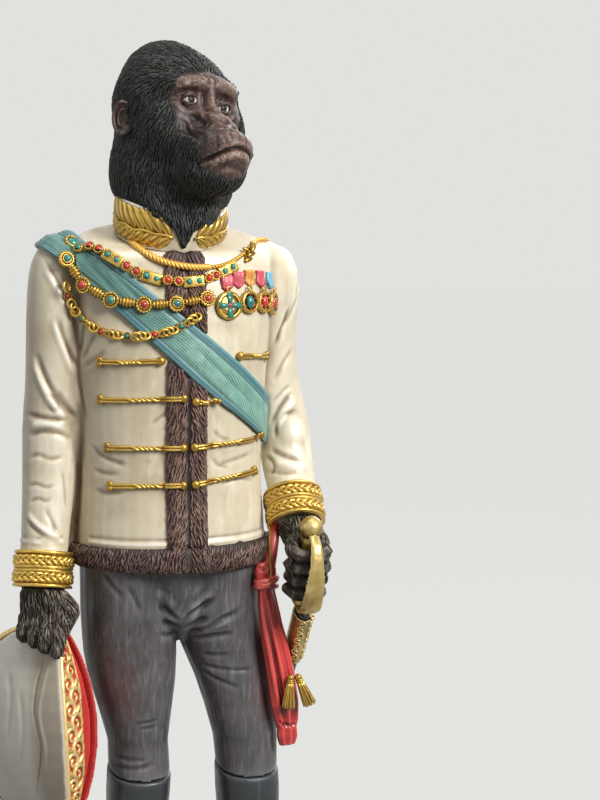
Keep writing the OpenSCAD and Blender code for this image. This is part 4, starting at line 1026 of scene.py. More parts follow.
def make_coat():
    """One casting of torso and sleeves, its folds pressed in and its seams cut."""
    lumps = [cast_copy("coat", "jacket", "right_sleeve", "left_sleeve")]
    for path in SHOULDER_FILL:
        spots = [Vector((BODY_X + x * MM, y * MM, SEAT_Z - down * MM)) for x, y, down, _ in path]
        lumps.append(tube("fill", spots, [r for _, _, _, r in path], 16))
    coat = joined("coat", lumps)
    remesh(coat, 0.85, 8)
    points = points_of(coat)
    beside = unit((np.abs(points[:, 0] - BODY_X) - 30 * MM) / (8 * MM))
    share = beside * unit((points[:, 2] - SEAT_Z + 90 * MM) / (30 * MM))
    set_points(coat, rubbed(coat, points, 24, share[:, None]))
    tree = surface(coat)
    strokes = creases(tree, COAT_FOLDS)
    for width, height, places in BACK_SEAMS:
        strokes.append((rounded([around(tree, *q) for q in places]), width, height))
    for side, elbow in ((-1, 72), (1, 74)):
        for k in range(SLEEVE_FOLDS):
            up = elbow + 26 * (k / (SLEEVE_FOLDS - 1) - 0.5)
            path = [Vector((BODY_X + side * x * MM, y * MM, HEM_Z + (up + rise) * MM))
                    for x, y, rise in ELBOW_FOLD]
            strokes.append((rounded(nearest(tree, path)), 2.2, -0.8 if k % 2 else 0.7))
    for up, width, height in ((13.6, 1.2, 0.6), (15.8, 1.0, -0.35)):
        lip = [around(tree, up, a) for a in range(0, 361, 6)]
        strokes.append(([p for p in lip if p], width, height))
    press(coat, strokes)
    raise_hem(coat)
    relief(coat, 26, 0.55)
    return place(coat, CREAM, "jacket_paint", "jacket", "right_sleeve", "left_sleeve")


# Legs: creases of the breeches, in the same terms as the coat's folds
CROTCH_FOLDS = (
    (2.0, -1.3, ((183, 622), (192, 615), (203, 608), (213, 603))),
    (1.8, -1.1, ((186, 628), (196, 623), (206, 619))),
    (2.0, -1.2, ((190, 633), (206, 628), (222, 620), (238, 613))),
    (1.8, -1.0, ((192, 638), (206, 637), (220, 635), (232, 633))),
    (1.8, -1.0, ((178, 621), (170, 616), (160, 609))),
    (1.6, -0.9, ((177, 627), (170, 625), (163, 622))),
    (1.6, -0.8, ((176, 634), (168, 635), (161, 634))),
    (2.6, 0.9, ((190, 611), (200, 606), (210, 598))),
    (2.6, 0.8, ((196, 630), (210, 626), (226, 622))),
    (3.0, 0.8, ((172, 609), (166, 603), (158, 598))),
    (1.5, -0.6, ((203, 654), (214, 655), (228, 654))),
    (1.5, -0.7, ((202, 664), (216, 668), (232, 670), (250, 669))),
    (1.5, -0.7, ((202, 670), (214, 678), (226, 683), (238, 687))),
    (1.4, -0.5, ((264, 682), (270, 682), (275, 680))),
    (1.3, -0.5, ((136, 724), (146, 723), (157, 720))),
    (1.3, -0.5, ((140, 729), (148, 728), (156, 726))),
    (1.6, -0.6, ((104, 585), (112, 594), (122, 602))),
    (1.6, -0.6, ((128, 594), (134, 602), (140, 614))),
    (1.8, -0.7, ((112, 762), (124, 768), (140, 769), (152, 764))),
    (1.6, -0.6, ((116, 755), (128, 760), (146, 760))),
    (1.8, -0.7, ((222, 778), (238, 782), (252, 782), (264, 778))),
    (1.6, -0.6, ((228, 785), (240, 788), (256, 787))),
)


# Creases at the ankles and behind the shins: x from the middle and rise, in millimetres
ANKLE_CREASE = ((-11, 3), (-5, 0), (2, -1), (9, 2))
SHIN_CREASE = ((-12, 2), (0, -1), (11, 2))


def make_trousers():
    """Close-fitting breeches, creased from the fork."""
    legs = clay("breeches", "trousers", 0.75, 8)
    tree = surface(legs)
    strokes = creases(tree, CROTCH_FOLDS)
    for side in (-1, 1):
        for k in range(4):
            path = [Vector((BODY_X + side * x * MM, 60 * MM, HEM_Z - (26 + 5 * k + fall) * MM))
                    for x, fall in ((4, 4 - k), (12, 2), (22, -1))]
            strokes.append((rounded(nearest(tree, path)), 2, -0.7))
    press(legs, strokes)
    raise_hem(legs)
    # Painted reflection of the red hat and sash: a dark red tint on the outside of the thighs
    points = points_of(legs)
    outside = np.abs(points[:, 0] + 3 * MM) / (34 * MM)
    thigh = unit((HEM_Z - 28 * MM - points[:, 2]) / (20 * MM)) * unit((points[:, 2] - 100 * MM) / (12 * MM))
    mark(legs, "red_reflection", unit(outside * 2.4 - 1.5) * thigh)
    paint(legs, TROUSER, "trouser_paint", "trousers", 22, 0.6)


def make_boot(node):
    """A boot, creased at the ankle and behind the shin."""
    boot = clay(node + "_cast", node, 0.75, 8)
    tree = surface(boot)
    low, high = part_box(node)
    mid_x = (low.x + high.x) / 2
    strokes = []
    for k in range(4):
        up = low.z + (17 + 5 * k) * MM
        path = [Vector((mid_x + x * MM, -60 * MM, up + rise * MM)) for x, rise in ANKLE_CREASE]
        strokes.append((rounded(nearest(tree, path)), 1.6, -0.6))
    for k in range(3):
        up = high.z - (12 + 9 * k) * MM
        path = [Vector((mid_x + x * MM, 80 * MM, up + rise * MM)) for x, rise in SHIN_CREASE]
        strokes.append((rounded(nearest(tree, path)), 2, -0.5))
    press(boot, strokes)
    paint(boot, BOOT, "boot_paint", node, 22, 0.5)


# Head: forward along the face, to the figure's left, and up
TURN, ROLL, TILT = math.radians(19), math.radians(6), math.radians(5)
FACE = Vector((math.sin(TURN) * math.cos(TILT), -math.cos(TURN) * math.cos(TILT), math.sin(TILT)))
LEVEL = Vector((math.cos(TURN), math.sin(TURN), 0))
CHEEK = LEVEL * math.cos(ROLL) - FACE.cross(LEVEL) * math.sin(ROLL)
CROWN = FACE.cross(CHEEK)
SKULL = Vector((BODY_X + 3.5 * MM, -6 * MM, SEAT_Z + 54 * MM))
# Half width of the bare face at heights in the head's frame
SKIN_UP = (-39, -36, -33.5, -31, -27, -22, -15, -10, -3, 4, 8, 11, 12.5, 13.5)
SKIN_HALF = (0, 0, 1, 8.5, 13, 13.4, 13, 15, 17.5, 17.5, 15.5, 12, 3, 0)
# How softly the face's paint fades into the black at heights in the head's frame
FADE_UP = (-36, -28, -12, -5, 4)
FADE = (8, 7.5, 7, 3.4, 2.6)
# Forms of the face: half width and height in millimetres, then places to the left and up
FACE_FORMS = (
    ("brow", 4.4, 1.5, ((-17, 4.6), (-12, 7.2), (-6.5, 8.4), (-1, 7.4), (4.5, 7.8), (11, 6.4), (16, 3.8))),
    ("brow hollow", 2.6, -0.9, ((-15, 2.4), (-11, 4), (-6.5, 3.6))),
    ("far brow hollow", 2.6, -0.9, ((3.5, 2.6), (8, 2.6), (12.5, 0.6))),
    ("frown", 1.2, -0.7, ((-2.8, 6.5), (-2.2, 9.5), (-2.6, 11.5))),
    ("far frown", 1.2, -0.7, ((0.6, 6.3), (0.8, 9), (0.4, 11))),
    ("bridge", 2.8, 1.4, ((-1.2, 5), (-1, 0), (-0.5, -4.5))),
    ("bridge side", 1.8, -1.1, ((-4.4, 3.4), (-4.6, -0.5), (-4.6, -4.5))),
    ("far bridge side", 1.8, -1.1, ((2.4, 2.6), (2.8, -1.5), (3.4, -5.5))),
    ("nose", 4.4, -1.9, ((-4.5, -9.6), (0.5, -9.4), (5.5, -10.4))),
    ("wing", 4.6, -2.4, ((-7.6, -7.8), (-7.4, -10.8))),
    ("wing side", 3.4, -2.3, ((-9, -7), (-9.1, -10.6))),
    ("nose rim", 1.5, 0.8, ((-5.6, -8.8), (-2.4, -9.4), (0.8, -10.6), (4, -10), (7, -10),
                            (9, -11.8))),
    ("nostril", 1.5, -1.7, ((-6.8, -11.8), (-4.8, -11.4), (-2.2, -12.2))),
    ("far nostril", 1.5, -1.7, ((3.6, -12.6), (6, -12.2), (8, -13.2))),
    ("wing fold", 1.5, -0.25, ((-6.6, -5), (-9.4, -7.4), (-10.4, -11), (-8.6, -14))),
    ("far wing fold", 1.4, -1.2, ((7.6, -6.4), (10.6, -9), (11.4, -12.4), (9.2, -15))),
    ("under nose", 1.0, -0.6, ((-5, -14), (-1, -13.6), (0.6, -13), (2.4, -13.8), (7.4, -14.8))),
    ("bag one", 2.2, 0.15, ((-16, -1.6), (-14, -4.6), (-10.5, -5.4), (-6.8, -3.8))),
    ("bag one low", 1.0, -0.18, ((-16.6, -3.4), (-14.4, -6.2), (-10.5, -7), (-6.6, -5.6))),
    ("bag two", 2.2, 0.1, ((-15.6, -6.2), (-12.5, -8.4), (-9, -8))),
    ("bag two low", 1.0, -0.18, ((-15, -8.4), (-12, -10), (-8.6, -9.6))),
    ("far bag one", 1.6, 0.5, ((12.6, -3.8), (11, -6.2), (7.6, -6.8), (4, -5.4))),
    ("far bag one low", 1.0, -0.4, ((13, -5.6), (11, -7.8), (7.6, -8.4))),
    ("far bag two", 1.2, 0.5, ((13.4, -8), (11, -9.6), (9, -9.2))),
    ("cheek fold", 1.8, -1.0, ((-12, -10.5), (-12.6, -14), (-13.2, -18))),
    ("far cheek fold", 1.8, -1.0, ((12.8, -11.5), (13.2, -15), (13.6, -19))),
    ("upper lip", 5.0, 1.0, ((-6, -17.6), (0.5, -16.8), (7, -18.2))),
    ("mouth", 1.3, -2.1, ((-12.4, -27.8), (-11.4, -27.2), (-8.4, -25.2), (-5.5, -23.2), (-2.5, -21.8),
                          (0.6, -21.1), (4, -21.4), (7, -22.2), (9.5, -23.8), (12.5, -26.4))),
    ("mouth corner", 1.8, -0.8, ((-12.4, -27.8), (-12, -29.6), (-10.8, -31))),
    ("muzzle side", 3.0, -0.7, ((-11, -13), (-11.8, -17), (-12.2, -22))),
    ("lower lip", 2.5, 1.2, ((-8.4, -28), (-5, -26), (-1, -24.4), (3, -24.2), (7, -25.4), (10, -27.8))),
    ("under lip", 2.2, -0.7, ((-6, -30), (-1, -28.6), (4, -28.8), (8, -30.2))),
    ("chin", 5.5, 0.2, ((-2, -33.4), (4, -33.6))),
    ("lip line one", 0.75, -0.4, ((-5.4, -15.4), (-5.8, -18), (-5.2, -20.4))),
    ("lip line two", 0.75, -0.4, ((-2.8, -15), (-3, -17.4), (-2.6, -19.4))),
    ("lip line three", 0.75, -0.4, ((0.4, -14.6), (0.5, -16.8), (0.5, -18.8))),
    ("lip line four", 0.75, -0.4, ((3.6, -15.2), (3.8, -17.6), (3.4, -19.4))),
    ("lip line five", 0.75, -0.4, ((-8, -16.6), (-8.6, -19.4), (-8, -22.4))),
    ("lip line six", 0.75, -0.35, ((6.6, -16), (7, -18.6), (6.4, -20.4))),
    ("crow foot one", 0.8, -0.45, ((-14.6, 1), (-17, 1.6))),
    ("crow foot two", 0.8, -0.45, ((-14.8, -0.4), (-17.4, -1))),
)


def head_place(a, b, c):
    """A point in the head's frame, as a place in the scene."""
    return SKULL + (FACE * a + CHEEK * b + CROWN * c) * MM


def in_head(points):
    """Points in the head's frame, in millimetres."""
    return (np.asarray(points) - np.array(SKULL)) @ np.array([FACE, CHEEK, CROWN]).T / MM


def skin_share(points):
    """How brown the head is at points: 1 on the face and 0 in the hair, and darker beside the nose on the
    figure's right, partly dark paint and partly painted shade.
    """
    a, b, c = in_head(points).T
    half = np.interp(c, SKIN_UP, SKIN_HALF)
    share = unit((half - np.abs(b - 0.3)) / np.interp(c, FADE_UP, FADE)) * unit((a - 6) / 4)
    # Beside the nose on the figure's right: partly the muzzle's dark paint, partly painted shade
    nose_shade = np.exp(-((b + 8.6) / 4) ** 2) * unit((-4.5 - c) / 3) * unit((c + 27) / 5)
    return share * (1 - 0.8 * nose_shade)


def haired(points):
    """Whether hair grows at points of the head."""
    a, b, c = in_head(points).T
    return (np.abs(b - 0.3) > np.interp(c, SKIN_UP, SKIN_HALF) - 0.3) | (a < 7)


def head_flow(at, out):
    """The way the hair lies: back over the crown, and down the cheeks and neck."""
    _, b, c = in_head([at])[0]
    side = CHEEK * (0.3 if b > 0 else -0.3)
    down = FACE * (-0.5 if c > -24 else -0.25) - CROWN * 0.9 + side * 0.4
    back = -FACE - CROWN * 0.15 + side
    return down.lerp(back, ease((c - 1) / 13)) + noise_vector(at * 130) * 0.3


def make_head():
    """Face and skull as one casting, its forms pressed in, with locks of hair round the bare face."""
    head = clay("head_cast", "head", 0.6, 6)
    tree = surface(head)
    strokes = []
    for _, width, height, places in FACE_FORMS:
        hits = [tree.ray_cast(head_place(90, b, c), -FACE)[0] for b, c in places]
        strokes.append((rounded([p for p in hits if p]), width, height))
    press(head, strokes)
    apply(head, "SMOOTH", iterations=2, factor=0.4)
    mark(head, "skin", skin_share(points_of(head)))
    relief(head, 14, 0.5)
    _, b, c = in_head(points_of(head)).T
    # A painted highlight along the lower lip, laid on with the dry-brushed ridges
    lip = np.exp(-((c + 25.2 + 0.03 * (b - 1) ** 2) / 1.9) ** 2) * (np.abs(b - 1) < 9.5)
    mark(head, "raised", np.minimum(marks_of(head, "raised") + 0.75 * lip, 1))
    tree = surface(head)
    roots = scatter(head, 1.05, haired, 3)
    hair = locks("head_hair", tree, roots, head_flow, 4.8, 1.15, 0.75, 4)
    place(head, SKIN, "skin_paint", "head")
    place(hair, HAIR, "hair_paint", "head")


def parts(node):
    """The loose parts of a solid, each as its points, from the figure's right to its left."""
    copy = cast_copy(node + "_parts", node)
    edit(copy, lambda: bpy.ops.mesh.separate(type="LOOSE"))
    pieces = list(bpy.context.selected_objects)
    found = [points_of(piece) for piece in pieces]
    drop(*pieces)
    return sorted(found, key=lambda p: p[:, 0].mean())


def middle(points):
    """The middle of a part's box."""
    return Vector((points.min(0) + points.max(0)) / 2)


# An eyeball's radius in millimetres, and its lids: degrees up at the middle and the corners, and thickness
EYE_R = 3.6
LIDS = ((33, 2, 1.05), (-30, -6, 0.75))
# How far an ear reaches from its middle, in millimetres
EAR_REACH = 30
# Rolls of an ear: angles from the back, share of its half size and half thickness
EAR_ROLLS = (
    ((110, 90, 65, 40, 15, -10, -35, -60, -80), 0.86, 0.85),
    ((95, 60, 25, -10, -45, -75), 0.5, 0.6),
)


def make_eyes():
    """Eyeballs that look out under thick lids."""
    balls = []
    lids = []
    gaze = (FACE * 0.85 + AWAY * 0.2 + CROWN * 0.06).normalized()
    for side, part in zip((-1, 1), parts("eyes")):
        out = (FACE + CHEEK * 0.25 * side).normalized()
        up = out.cross(CHEEK).normalized()
        heart = middle(part) - out * 2.75 * MM
        eye = ball(EYE_R, standing(heart, gaze, CHEEK), 48, 32)
        toward = distance_along(points_of(eye), heart, gaze) / (EYE_R * MM)
        mark(eye, "gaze", np.arccos(np.clip(toward, -1, 1)))
        balls.append(eye)
        for high, low, thick in LIDS:
            path = []
            radii = []
            for k in range(17):
                t = k / 8 - 1
                turn = math.radians(64 * t)
                lift = math.radians(low + (high - low) * (1 - t * t))
                level = out * math.cos(turn) + CHEEK * math.sin(turn)
                path.append(heart + (level * math.cos(lift) + up * math.sin(lift)) * (EYE_R + 0.25) * MM)
                radii.append(0.4 + (thick - 0.4) * (1 - t * t))
            lid = tube("lid", path, radii, 10)
            mark(lid, "skin", 0.6)
            mark(lid, "raised", 0.1)
            lids.append(lid)
    place(joined("eyeballs", balls), EYE, "eye_paint", "eyes")
    place(joined("eyelids", lids), SKIN, "skin_paint", "head")


def of_ear(points, heart):
    """Which points belong to the ear round a place."""
    return np.linalg.norm(points - np.array(heart), axis=1) < EAR_REACH * MM


def make_ears():
    """Cupped ears: a dark hollow inside a rolled rim and an inner fold."""
    ears = clay("ear_shells", "ears", 0.4, 6)
    tree = surface(ears)
    points = points_of(ears)
    hidden = np.zeros(len(points))
    strokes = []
    rims = []
    sets = []
    for side, part in zip((-1, 1), parts("ears")):
        heart = middle(part)
        out, back, up = (Vector(way) for way in axes_of(part).T)
        out = out if out.dot(CHEEK) * side > 0 else -out
        back = back if back.dot(FACE) < 0 else -back
        up = up if up.z > 0 else -up
        tall = np.ptp(part @ np.array(up)) / 2
        wide = np.ptp(part @ np.array(back)) / 2

        def spot(turn, share):
            angle = math.radians(turn)
            flat = heart + back * wide * share * math.cos(angle) + up * tall * share * math.sin(angle)
            return tree.ray_cast(flat + out * 10 * MM, -out)[0] or tree.find_nearest(flat)[0]

        strokes.append(([spot(90, 0.4), spot(0, 0.05), spot(-90, 0.4)], 0.62 * wide / MM, -1.5))
        strokes.append(([spot(200, 0.3), spot(230, 0.3)], 0.5 * wide / MM, -1.2))
        front = unit(0.3 - distance_along(points, heart, back) / wide * 1.4)
        hidden = np.maximum(hidden, front * of_ear(points, heart))
        sets.append((heart, out, up, back, tall, wide))
        for turns, share, thick in EAR_ROLLS:
            path = rounded([spot(turn, share) + out * 0.25 * MM for turn in turns])
            last = len(path) - 1
            radii = [thick * (0.45 + 0.55 * math.sin(math.pi * k / last)) for k in range(last + 1)]
            rims.append(tube("rim", path, radii, 10))
            mark(rims[-1], "raised", 0.2)
    press(ears, strokes)
    relief(ears, 24, 0.5)
    mark(ears, "raised", marks_of(ears, "raised") * (1 - hidden))
    shells = joined("ear_shells", [ears] + rims)
    rolled = len(shells.data.vertices) - len(hidden)
    mark(shells, "skin", np.r_[0.6 * (1 - hidden), np.full(rolled, 0.75)])
    points = points_of(shells)
    for heart, out, up, back, tall, wide in sets:
        own = of_ear(points, heart)
        front = unit(0.15 - distance_along(points, heart, back) / wide)
        sunk = np.outer(front * own, out) * -4.6 * MM
        low = np.outer((distance_along(points, heart, up) + tall) * own, up) * -0.1
        points = points + sunk + low + np.outer(own, FACE) * 1.6 * MM
    set_points(shells, points)
    place(shells, SKIN, "skin_paint", "ears")


def make_hand(node, flow, wanted, seed):
    """A dark hand with hair over its back."""
    hand = clay(node + "_cast", node, 0.6, 5)
    relief(hand, 14, 0.5)
    roots = scatter(hand, 1.15, wanted, seed)
    hair = locks(node + "_hair", surface(hand), roots, flow, 6, 1.2, 0.8, seed)
    place(hand, HAND, "hair_paint", node)
    place(hair, HAND, "hair_paint", node)


def make_fur(node, finish, flow, gap, seed):
    """A bed of fur under carved strands."""
    bed = clay(node + "_bed", node, 0.8, 3)
    shadow(bed)
    tree = surface(bed, nodes["fur_hem"])
    roots = scatter(bed, gap, off_split, seed)
    strands = locks(node + "_strands", tree, roots, flow, 4.8, 1.15, 0.8, seed)
    fur = joined(node + "_cast", [bed, strands])
    raise_hem(fur)
    if node == "fur_placket":
        points = points_of(fur)
        from_top = points[:, 2] - SEAT_Z + 40 * MM
        high = from_top > 0
        moved = points + np.outer(unit(from_top / (25 * MM)), (0, 0, 3.3 * MM))
        points[high] = slid(points[high], moved[high], cloth)
        set_points(fur, points)
    place(fur, finish, "fur_paint", node)


def off_split(spots):
    """Where fur grows: beside the dark line down the middle of the front."""
    return (np.abs(spots[:, 0] - BODY_X - 0.5 * MM) > 0.5 * MM) | (spots[:, 1] > 0)


def hem_flow(at, out):
    """The way the hem's fur lies: down, and parted in the middle of the front."""
    if abs(at.x - BODY_X) < 8 * MM and at.y < 0:
        return placket_flow(at, out)
    return Vector((-0.22, -0.05, -1)) + noise_vector(at * 110) * 0.45


def placket_flow(at, out):
    """The way the front's fur lies: down and out from its split."""
    lean = 0.36 if at.x > BODY_X else -0.36
    return Vector((lean, 0, -1)) + noise_vector(at * 110) * 0.4


# Collar: a leaning band, with the leaves set by an angle round it and a height
COLLAR_LEAN = math.radians(17)
COLLAR_SEAT = Vector((BODY_X, -1.5 * MM, SEAT_Z))
COLLAR_UP = Vector((0, -math.sin(COLLAR_LEAN), math.cos(COLLAR_LEAN)))
COLLAR_FRONT = Vector((0, -math.cos(COLLAR_LEAN), -math.sin(COLLAR_LEAN)))
COLLAR_R = 23.25


def collar_rise(angle):
    """How much taller the collar is towards the figure's right."""
    return 1 + 0.26 * ease((-angle - 6) / 24)


def on_collar(angle, height, lift):
    """A place on the collar, lifted off its face."""
    turn = math.radians(angle)
    way = COLLAR_FRONT * math.cos(turn) + Vector((1, 0, 0)) * math.sin(turn)
    return COLLAR_SEAT + (COLLAR_UP * height * collar_rise(angle) + way * (COLLAR_R + lift)) * MM


def slab(name, rows, columns, spot):
    """A closed sheet over a grid, from a function that gives each point and the one under it."""
    pairs = [spot(i, j) for i in range(rows) for j in range(columns)]
    half = rows * columns
    faces = []
    for i in range(rows - 1):
        for j in range(columns - 1):
            a = i * columns + j
            faces.append((a, a + 1, a + columns + 1, a + columns))
            faces.append((half + a, half + a + columns, half + a + columns + 1, half + a + 1))
    rim = list(range(columns)) + [i * columns + columns - 1 for i in range(1, rows)]
    rim += [(rows - 1) * columns + j for j in range(columns - 2, -1, -1)]
    rim += [i * columns for i in range(rows - 2, 0, -1)]
    for a, b in zip(rim, rim[1:] + rim[:1]):
        faces.append((a, half + a, half + b, b))
    piece = new_piece(name, [top for top, _ in pairs] + [under for _, under in pairs], faces)
    edit(piece, lambda: bpy.ops.mesh.normals_make_consistent(inside=False))
    return piece


def collar_leaf(foot, tip, half):
    """A pointed leaf with a vein, bent round the collar."""
    per_mm = math.degrees(1 / COLLAR_R)
    run = ((tip[0] - foot[0]) / per_mm, tip[1] - foot[1])
    length = math.hypot(*run)
    aside = (-run[1] / length, run[0] / length)

    def spot(k, j):
        t = k / 9
        s = j / 3 - 1
        wide = half * (0.12 + 0.88 * math.sin(math.pi * t ** 0.85) ** 0.8)
        angle = foot[0] + (run[0] * t + aside[0] * s * wide) * per_mm
        height = foot[1] + run[1] * t + aside[1] * s * wide
        lift = 0.25 + 1.15 * (1 - s * s) ** 0.6 * (0.35 + 0.65 * math.sin(math.pi * min(t + 0.08, 1)))
        vein = 0.35 if j == 3 else 0
        return on_collar(angle, height, lift - vein), on_collar(angle, height, -0.15)

    return slab("leaf", 10, 7, spot)


def make_collar():
    """A cream band with a gilt spray of leaves on each side."""
    band = clay("collar_band", "collar", 0.5, 3)
    points = points_of(band)
    front = distance_along(points, COLLAR_SEAT, COLLAR_FRONT)
    angles = np.degrees(np.arctan2(points[:, 0] - COLLAR_SEAT.x, front))
    up = np.maximum(distance_along(points, COLLAR_SEAT, COLLAR_UP), 0)
    set_points(band, points + np.outer([collar_rise(a) - 1 for a in angles] * up, COLLAR_UP))
    paint(band, CREAM, "jacket_paint", "collar", 12, 0.4)
    leaves = []
    for side in (-1, 1):

        def ground(k, j):
            tall = 5.7 * min(1, ((k + 0.5) / 9) ** 0.7, ((35.5 - k) / 5) ** 0.6)
            place_on = (side * (13 + 3 * k), 7.3 + tall * (j / 3 - 1))
            return on_collar(*place_on, 0.3), on_collar(*place_on, -0.4)

        leaves.append(slab("ground", 36, 7, ground))
        for k in range(10):
            angle = 14 + 9.6 * k
            leaves.append(collar_leaf((side * angle, 6.6), (side * (angle + 17), 13.5), 2.2))
            leaves.append(collar_leaf((side * angle, 6.2), (side * (angle + 15), 1.3), 1.9))
        stem = [on_collar(side * (11 + 4 * k), 6.4 + 0.3 * math.sin(k), 0.9) for k in range(26)]
        leaves.append(tube("stem", stem, 0.6, 8))
    gild(joined("collar_sprays", leaves), "collar_leaves")


def make_beard():
    """Hair between the head and the collar, which runs to a point in the collar's notch."""
    top = 23

    def spot(k, j):
        angle = -120 + 3 * k
        share = max(0, 1 - abs(angle) / 62)
        low = 13.6 - 3.6 * share - 7.6 * max(0, 1 - abs(angle) / 10)
        rim = -2.8 + 3.4 * min(1, share * 2.2)
        t = j / 10
        height = top + (low - top) * t
        lift = -4.5 + (rim + 4.5) * min(1, t * 1.45)
        return on_collar(angle, height, lift), on_collar(angle, height, -6.5)

    def outside(spots):
        way = np.asarray(spots) - np.array(COLLAR_SEAT)
        height = way @ np.array(COLLAR_UP)
        return np.linalg.norm(way - np.outer(height, COLLAR_UP), axis=1) > (COLLAR_R - 4.4) * MM

    def flow(at, out):
        return Vector((-(at.x - BODY_X) * 40, 0, -1)) - COLLAR_UP * 0.4 + noise_vector(at * 130) * 0.3

    bed = slab("beard_bed", 81, 11, spot)
    shadow(bed)
    roots = scatter(bed, 1.0, outside, 31)
    hair = locks("beard_hair", surface(bed), roots, flow, 4.4, 1.1, 0.75, 32)
    place(joined("beard", [bed, hair]), HAIR, "hair_paint", "neck")


def polar(radius, turn, height=0):
    """A point by its radius, angle and height, in millimetres."""
    return Vector((radius * math.cos(turn), radius * math.sin(turn), height)) * MM


def ring_cord(radius, height, bow, turns, thick):
    """A cord with a slight twist, round a ring."""
    steps = turns * 10
    path = []
    for k in range(steps):
        turn = 2 * math.pi * k / steps
        lay = turns * turn
        path.append(polar(radius + bow * math.cos(lay), turn, height + bow * math.sin(lay)))
    return tube("strand", path, thick, 7, closed=True)


def plait(radius, height, repeats):
    """A flat three-strand plait round a ring."""
    made = []
    steps = repeats * 14
    for s in range(3):
        path = []
        for k in range(steps):
            turn = 2 * math.pi * k / steps
            lay = repeats * turn + 2 * math.pi * s / 3
            path.append(polar(radius + 0.5 * math.sin(2 * lay), turn, height + 1.55 * math.sin(lay)))
        made.append(tube("strand", path, 0.85, 8, closed=True))
    return made


# A cuff's band, in millimetres: its height, and the radius of its lining and of its face
CUFF_TALL, CUFF_IN, CUFF_OUT = 15.5, 10.8, 11.8


def make_cuff(node):
    """Cords and plaits on a band round the wrist."""
    points = points_of(nodes[node])
    ways = axes_of(points)
    axis = Vector(ways[:, 0])
    axis = axis if axis.z > 0 else -axis
    run = points @ ways
    heart = Vector(ways @ ((run.min(0) + run.max(0)) / 2))
    wall = ((CUFF_IN, 0), (CUFF_OUT, 0), (CUFF_OUT, CUFF_TALL), (CUFF_IN, CUFF_TALL), (CUFF_IN, 0))
    made = [turned("band", [(r * MM, h * MM) for r, h in wall], 64)]
    for height in (0.8, CUFF_TALL / 2 - 0.8, CUFF_TALL / 2 + 0.8, CUFF_TALL - 0.8):
        made.append(ring_cord(12, height, 0.05, 8, 0.78))
    made += plait(11.9, 4.2, 8) + plait(11.9, CUFF_TALL - 4.2, 8)
    cuff = joined(node + "_braid", made)
    put(cuff, standing(heart - axis * CUFF_TALL / 2 * MM, axis, (1, 0, 0)))
    gild(cuff, node, 5, 0.25)


# Shoulder sash: its slope, its middle, the ways across and along it, and its half width in millimetres
SASH_TURN = math.radians(39.7)
SASH_MID = np.array((BODY_X, 0, HEM_Z + 98 * MM))
SASH_ACROSS = np.array((math.sin(SASH_TURN), 0, math.cos(SASH_TURN)))
SASH_ALONG = np.array((math.cos(SASH_TURN), 0, -math.sin(SASH_TURN)))
SASH_HALF = 8.5
# Folds of the silk, as places in the photograph
SILK_FOLDS = (
    ((88, 262), (112, 288), (136, 312)),
    ((104, 262), (124, 284), (150, 310)),
    ((176, 350), (204, 376), (232, 402)),
    ((198, 350), (222, 372), (252, 404)),
    ((228, 408), (246, 422), (262, 438)),
)


def make_shoulder_sash(tree):
    """Silk band with a ribbed field between grooved borders, narrower on the shoulder."""
    sash = clay("shoulder_silk", "shoulder_sash", 0.55, 6)
    points = points_of(sash)
    off = distance_along(points, SASH_MID, SASH_ACROSS) / (SASH_HALF * MM)
    run = distance_along(points, SASH_MID, SASH_ALONG) / MM
    wide = np.interp(run, (-62, -22, 10, 26, 46), (0.74, 0.95, 1.1, 1.1, 1))
    shift = np.interp(run, (-62, -22, 10), (0.26, 0.05, 0))
    moved = points + np.outer((off * wide + shift - off) * SASH_HALF * MM, SASH_ACROSS)
    points = rubbed(sash, slid(points, moved, tree), 4)
    set_points(sash, points)
    edge = np.abs(off)
    groove = np.exp(-((edge - 0.62) / 0.05) ** 2) + 0.6 * np.exp(-((edge - 0.8) / 0.04) ** 2)
    set_points(sash, points - normals_of(sash) * (groove * 0.5 * MM)[:, None])
    press(sash, creases(surface(sash), [(1.6, -0.35, fold) for fold in SILK_FOLDS]))
    mark(sash, "border", unit((edge - 0.62) / 0.08))
    # Painted shade: darker towards the sash's upper end, under the chains
    mark(sash, "painted_shade", np.clip((6 - run) / 30, 0, 0.75))
    mark(sash, "field", unit((0.58 - edge) / 0.06))
    run = run + 45
    mark(sash, "rib", (off * SASH_HALF - 0.466 * run + 0.0058 * run ** 2) / 1.05)
    return paint(sash, TEAL, "teal_paint", "shoulder_sash", 14, 0.4)


# Neck cord: a thick rope to the middle of the chest, then a thin one up to the left shoulder
ROPE_PLACES = ((121, 230), (126, 239), (135, 248), (147, 256), (162, 262), (178, 266), (194, 268),
               (209, 268))
THIN_PLACES = ((207, 268), (222, 266), (236, 260), (246, 252), (252, 246), (257, 242), (262, 241),
               (267, 242))
TUFT_PLACE = (247, 256)


def lying(tree, places, lift):
    """Places in the photograph as a path that lies on a surface."""
    path = []
    for x, y in places:
        at, out, _, _ = tree.ray_cast(*photo_ray(x, y))
        if at:
            path.append(at + out * lift * MM)
    return rounded(path)


